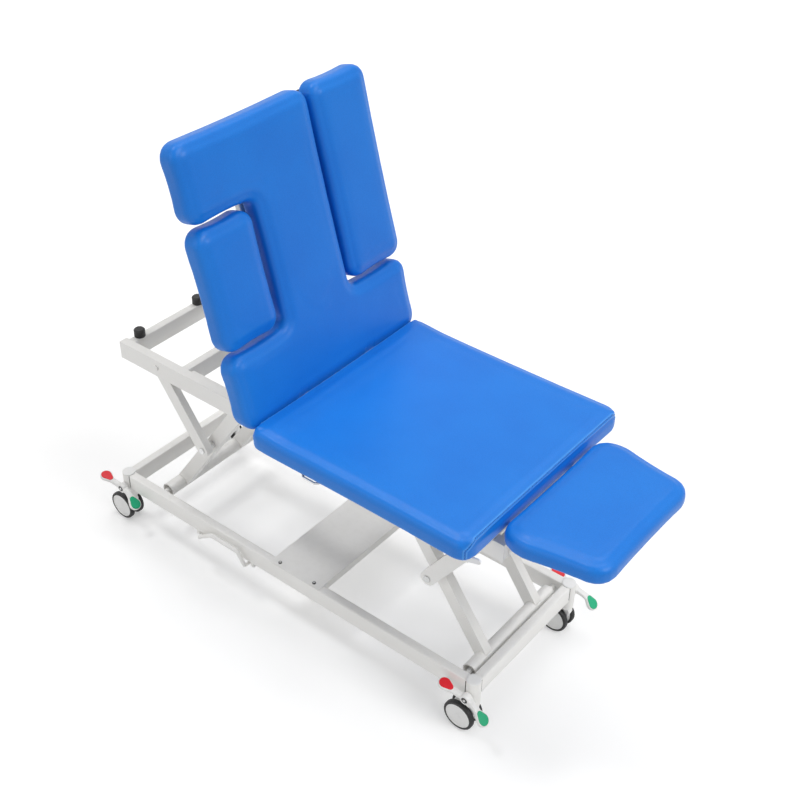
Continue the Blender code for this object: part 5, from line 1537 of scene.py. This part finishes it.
    def build(self) -> None:
        """Makes bar, rockers, pads, bolts and bushes, in place of the plain solid."""
        end = self.end.name.lower()
        bar = rod(self.bar_radius, self.middle + self.bar_past)
        bar = bar.moved(axis_place((self.end.value, 0, self.bar_z), (0, 1, 0)))
        pin = turned([(0, -0.012), (0.0019, -0.012), (0.0019, 0.0118), (0.0014, 0.0122), (0, 0.0122)], 16)
        bush = turned([(0.0046, 0.0098), (0.0098, 0.0098), (0.0098, 0.0107), (0.0090, 0.0112),
                       (0.0054, 0.0112), (0.0046, 0.0106)], 40, ring=True)
        rockers, lock, free, bolts, bushes = (Shape() for _ in range(5))
        for side in Side:
            place = Matrix.Translation((self.end.value, side.value * self.middle, self.bar_z))
            outward = axis_place((0, 0, 0), (0, side.value, 0))
            beside = Matrix.Translation((0.0075, side.value * 0.0002, -0.0068))
            on_hub = Matrix.Translation((0, side.value * 0.0098, 0))
            rockers.add(self._rocker(side).moved(place))
            lock.add(self._pad(self.lock, side).moved(place))
            free.add(self._pad(self.free, side).moved(place))
            bolts.add(pin.moved(place @ beside @ outward))
            bolts.add(bolt_head(0.0042, 0.0034).moved(place @ on_hub @ outward))
            bushes.add(bush.moved(place @ outward))
        for name, shape, finish, slot in (
                ("brake_bar", bar, "zinc_steel", None), ("brake_rockers", rockers, "pedal_plastic", None),
                ("lock_pads", lock, "lock_pad", ""), ("free_pads", free, "free_pad", ""),
                ("rocker_pins", bolts, "zinc_steel", None), ("rocker_bushes", bushes, "dark_plastic", None)):
            self.shop.piece(f"{name}_{end}", shape, finish, f"{end}_pedals", slot, f"{end}_brake_pedals")


# Fittings


@dataclass
class FootBar:
    """The cranked foot bar on the near rail: a bent rod with a thicker grip where the foot rests."""

    shop: Workshop
    head_x: float = -0.483
    foot_x: float = -0.278
    pivot: tuple[float, float] = (-0.245, 0.126)
    reach: float = -0.276
    lift: float = 0.180
    knee: float = 0.140
    shoulders: tuple[float, float] = (0.070, 0.025)
    clip: float = 0.012
    bend: float = 0.012
    turn_run: float = 0.005
    point_step: float = 0.0025
    radius: float = 0.0050
    grip: float = 0.0068
    grip_from: float = 0.020
    grip_fade: float = 0.008

    def build(self) -> None:
        """Makes the bar in place of the plain one."""
        (y0, z0), y, x0, x1 = self.pivot, self.reach, self.head_x, self.foot_x
        turn = y + self.turn_run
        corners = [(x0 - self.clip, y0, z0), (x0, y0, z0), (x0, turn, z0), (x0 + self.clip, y, self.knee),
                   (x0 + self.shoulders[0], y, self.lift), (x1 - self.shoulders[1], y, self.lift),
                   (x1, y, self.knee), (x1, turn, z0), (x1, y0, z0), (x1 + self.clip, y0, z0)]
        path = resampled(rounded([Vector(c) for c in corners], self.bend), self.point_step)
        outs = [min(1.0, max(0.0, (y0 - self.grip_from - point.y) / self.grip_fade)) for point in path]
        radii = [self.radius + (self.grip - self.radius) * eased(out) for out in outs]
        self.shop.piece("foot_bar", swept(path, radii, 20), "powder_coat", "foot_control",
                        stands_for="foot_control_bar", sharp=50)


@dataclass
class BaseFittings:
    """Caps of the posts, dark strips of painted shadow in the gaps where rails and end frames meet the posts,
    and the tray's screws.
    """

    shop: Workshop
    post_y: float = 0.245
    post_top: float = 0.200
    post_radius: float = 0.022
    rail_half: float = 0.015
    strip_z: tuple[float, float] = (0.148, 0.1962)
    strip_wide: float = 0.0022
    strip_proud: float = 0.0004
    tray_x: tuple[float, float] = (-0.146, -0.007)
    tray_top: float = 0.2003

    def build(self) -> None:
        """Makes the fittings."""
        r, z = self.post_radius, self.post_top
        cap = turned([(0, z + 0.0001), (r - 0.0004, z + 0.0001), (r - 0.0002, z + 0.0011),
                      (r - 0.0013, z + 0.0022), (r - 0.006, z + 0.0027), (0, z + 0.0029)], 48)
        caps, gap_shadows, screws = Shape(), Shape(), Shape()
        for side in Side:
            y = side.value * self.post_y
            for end in End:
                caps.add(cap.moved(Matrix.Translation((end.value, y, 0))))
                gap_shadows.add(self._gaps(side, end))
            for x in self.tray_x:
                screws.add(bolt_head(0.0054, 0.0034).moved(Matrix.Translation((x, y, self.tray_top))))
        self.shop.piece("post_caps", caps, "grey_plastic", "base")
        # Painted shadow: dark strips stand for the shaded gaps beside each post.
        self.shop.piece("post_gaps", gap_shadows, "dark_gap", "base", "dark_plastic")
        self.shop.piece("tray_screws", screws, "dark_plastic", "base")

    def _gaps(self, side: Side, end: End) -> Shape:
        """The dark strips of painted shadow that stand for the shaded gaps where a rail and an end frame meet
        their post.

        Args:
            side: the post's side.
            end: the post's end.

        Returns:
            The two strips.
        """
        half, wide, proud = self.rail_half, self.strip_wide, self.strip_proud
        reach = math.sqrt(self.post_radius ** 2 - half ** 2)
        inward, outward = (1 if end is End.HEAD else -1), side.value
        on_rail = (inward * reach, self.post_y + half, inward * wide, outward * proud)
        on_frame = (-inward * half, self.post_y - reach, -inward * proud, -outward * wide)
        strips = []
        for from_post, out, dx, dy in (on_rail, on_frame):
            x, y = end.value + from_post, outward * out
            outline = [(x, y), (x + dx, y), (x + dx, y + dy), (x, y + dy)]
            strips.append(lofted([[Vector((*p, z)) for p in outline] for z in self.strip_z]))
        return joined(strips)


@dataclass
class Dressing:
    """Finishes of the nodes that keep their shape."""

    shop: Workshop
    sharp: float = 38.0
    weld: float = 1e-5
    other: dict[str, str] = field(default_factory=lambda: {
        "back_release_handle": "zinc_steel", "gas_spring_rod": "bright_rod", "lift_rod": "bright_rod"})

    def dress(self) -> None:
        """Gives every node its finish and soft shading."""
        shading = self._shading()
        for name, node in frame["nodes"].items():
            slot = node.data.materials[0].name.split(".")[0]
            node.data.materials.clear()
            node.data.materials.append(self.shop.finishes[self.other.get(name, slot)])
            if not node.hide_render:
                node.modifiers.new("soft shading", "NODES").node_group = shading
        LOG.info("dressed %d nodes", len(frame["nodes"]))

    def _shading(self) -> bpy.types.NodeTree:
        """Nodes that shade a faceted solid smoothly where its faces meet at a low angle.

        Returns:
            The node group.
        """
        tree = bpy.data.node_groups.new("Soft shading", "GeometryNodeTree")
        for way in ("INPUT", "OUTPUT"):
            tree.interface.new_socket("Geometry", in_out=way, socket_type="NodeSocketGeometry")
        net = Net(tree)
        start = net.node("NodeGroupInput").outputs[0]
        feeds = {"Geometry": start, "Distance": self.weld}
        merged = net.node("GeometryNodeMergeByDistance", feeds).outputs[0]
        angle = net.node("GeometryNodeInputMeshEdgeAngle").outputs["Unsigned Angle"]
        over = net.node("FunctionNodeCompare", {0: angle, 1: math.radians(self.sharp)}, data_type="FLOAT",
                        operation="GREATER_THAN").outputs[0]
        feeds = {"Mesh": merged, "Remove Custom": True, "Edge Sharpness": over, "Face Sharpness": False}
        shaded = net.node("GeometryNodeSetMeshNormal", feeds, mode="SHARPNESS").outputs[0]
        net.put(shaded, net.node("NodeGroupOutput").inputs[0])
        return tree


# Studio


@dataclass
class Studio:
    """Pale floor, soft light from above and the camera of the photograph."""

    eye: Triple = (1.87777, -2.23727, 2.92374)
    azimuth: float = math.radians(38.1544)
    elevation: float = math.radians(36.6302)
    roll: float = math.radians(-0.8255)
    lens: float = 56.93
    sky: float = 0.27
    floor_half: float = 9.0
    floor_glow: float = 0.34
    lamp_away: float = 6.0
    lamps: tuple[tuple[str, Triple, float, float], ...] = (
        ("key", (-0.05, 0.40, 1.0), 36.0, 0.85), ("gloss", (-0.38, -0.12, 1.0), 12.0, 0.66),
        ("fill", (1.0, 0.12, 0.95), 36.0, 1.45), ("front", (-0.25, -1.0, 0.45), 45.0, 0.58))

    def build(self) -> None:
        """Makes floor, sky, lamps and camera."""
        bpy.context.scene.view_settings.view_transform = "Standard"
        self._floor()
        self._sky()
        for name, source, spread, strength in self.lamps:
            lamp = bpy.data.lights.new(name, "SUN")
            lamp.angle = math.radians(spread)
            lamp.energy = strength
            holder = placed(name, lamp)
            holder.rotation_euler = Vector(source).to_track_quat("Z", "Y").to_euler()
            holder.location = Vector(source).normalized() * self.lamp_away
        self._camera()

    def _seen(self, net: Net) -> Socket:
        """1 for rays that show a thing to the lens or in a gloss, 0 for rays that light others.

        Args:
            net: the net that asks.

        Returns:
            The output with that value.
        """
        rays = net.node("ShaderNodeLightPath").outputs
        seen = net.math("MAXIMUM", rays["Is Camera Ray"], rays["Is Glossy Ray"])
        return net.math("MAXIMUM", seen, rays["Is Transmission Ray"])

    def _floor(self) -> None:
        """A wide pale floor that shows white where no shadow falls."""
        mesh = bpy.data.meshes.new("floor")
        h = self.floor_half
        mesh.from_pydata([(-h, -h, 0), (h, -h, 0), (h, h, 0), (-h, h, 0)], [], [(0, 1, 2, 3)])
        placed("floor", mesh)
        s = Surface("floor")
        speck = s.noise(s.where(), 1.4, 3.0)
        s.feed(Base_Color=s.mix(speck, (0.74, 0.74, 0.74), (0.76, 0.76, 0.76)), Roughness=0.9,
               Specular_IOR_Level=0.0, Emission_Color=(1.0, 1.0, 1.0),
               Emission_Strength=s.times(self._seen(s), self.floor_glow))
        mesh.materials.append(s.material)

    def _sky(self) -> None:
        """An even white sky, as bright to the lens as the floor."""
        world = bpy.data.worlds.new("studio")
        bpy.context.scene.world = world
        world.use_nodes = True
        net = Net(world.node_tree)
        back = next(n for n in net.tree.nodes if n.type == "BACKGROUND").inputs
        net.put((1.0, 1.0, 1.0), back["Color"])
        net.put(net.math("MULTIPLY_ADD", self._seen(net), 1.0 - self.sky, self.sky), back["Strength"])

    def _camera(self) -> None:
        """The camera at the photograph's angle."""
        ca, sa = math.cos(self.azimuth), math.sin(self.azimuth)
        ce, se = math.cos(self.elevation), math.sin(self.elevation)
        ahead = Vector((-sa * ce, ca * ce, -se))
        right = Vector((ca, sa, 0.0))
        down = ahead.cross(right)
        c, s = math.cos(self.roll), math.sin(self.roll)
        right, down = c * right + s * down, c * down - s * right
        turn = Matrix((right, -down, -ahead)).transposed()
        lens = bpy.data.cameras.new("camera")
        lens.sensor_width = 36.0
        lens.lens = self.lens
        camera = placed("camera", lens)
        camera.matrix_world = Matrix.Translation(self.eye) @ turn.to_4x4()
        bpy.context.scene.camera = camera


def write_sizes() -> None:
    """Brings the scene's placements up to date."""
    bpy.context.view_layer.update()


def main() -> None:
    """Builds the dressed table and its studio."""
    shop = Workshop()
    Studio().build()
    Upholstery(shop).build()
    for end in End:
        BrakeRockers(end, shop).build()
        for side in Side:
            TwinWheel(end, side, shop).build()
    FootBar(shop).build()
    BaseFittings(shop).build()
    Dressing(shop).dress()
    write_sizes()


if __name__ == "__main__":
    main()
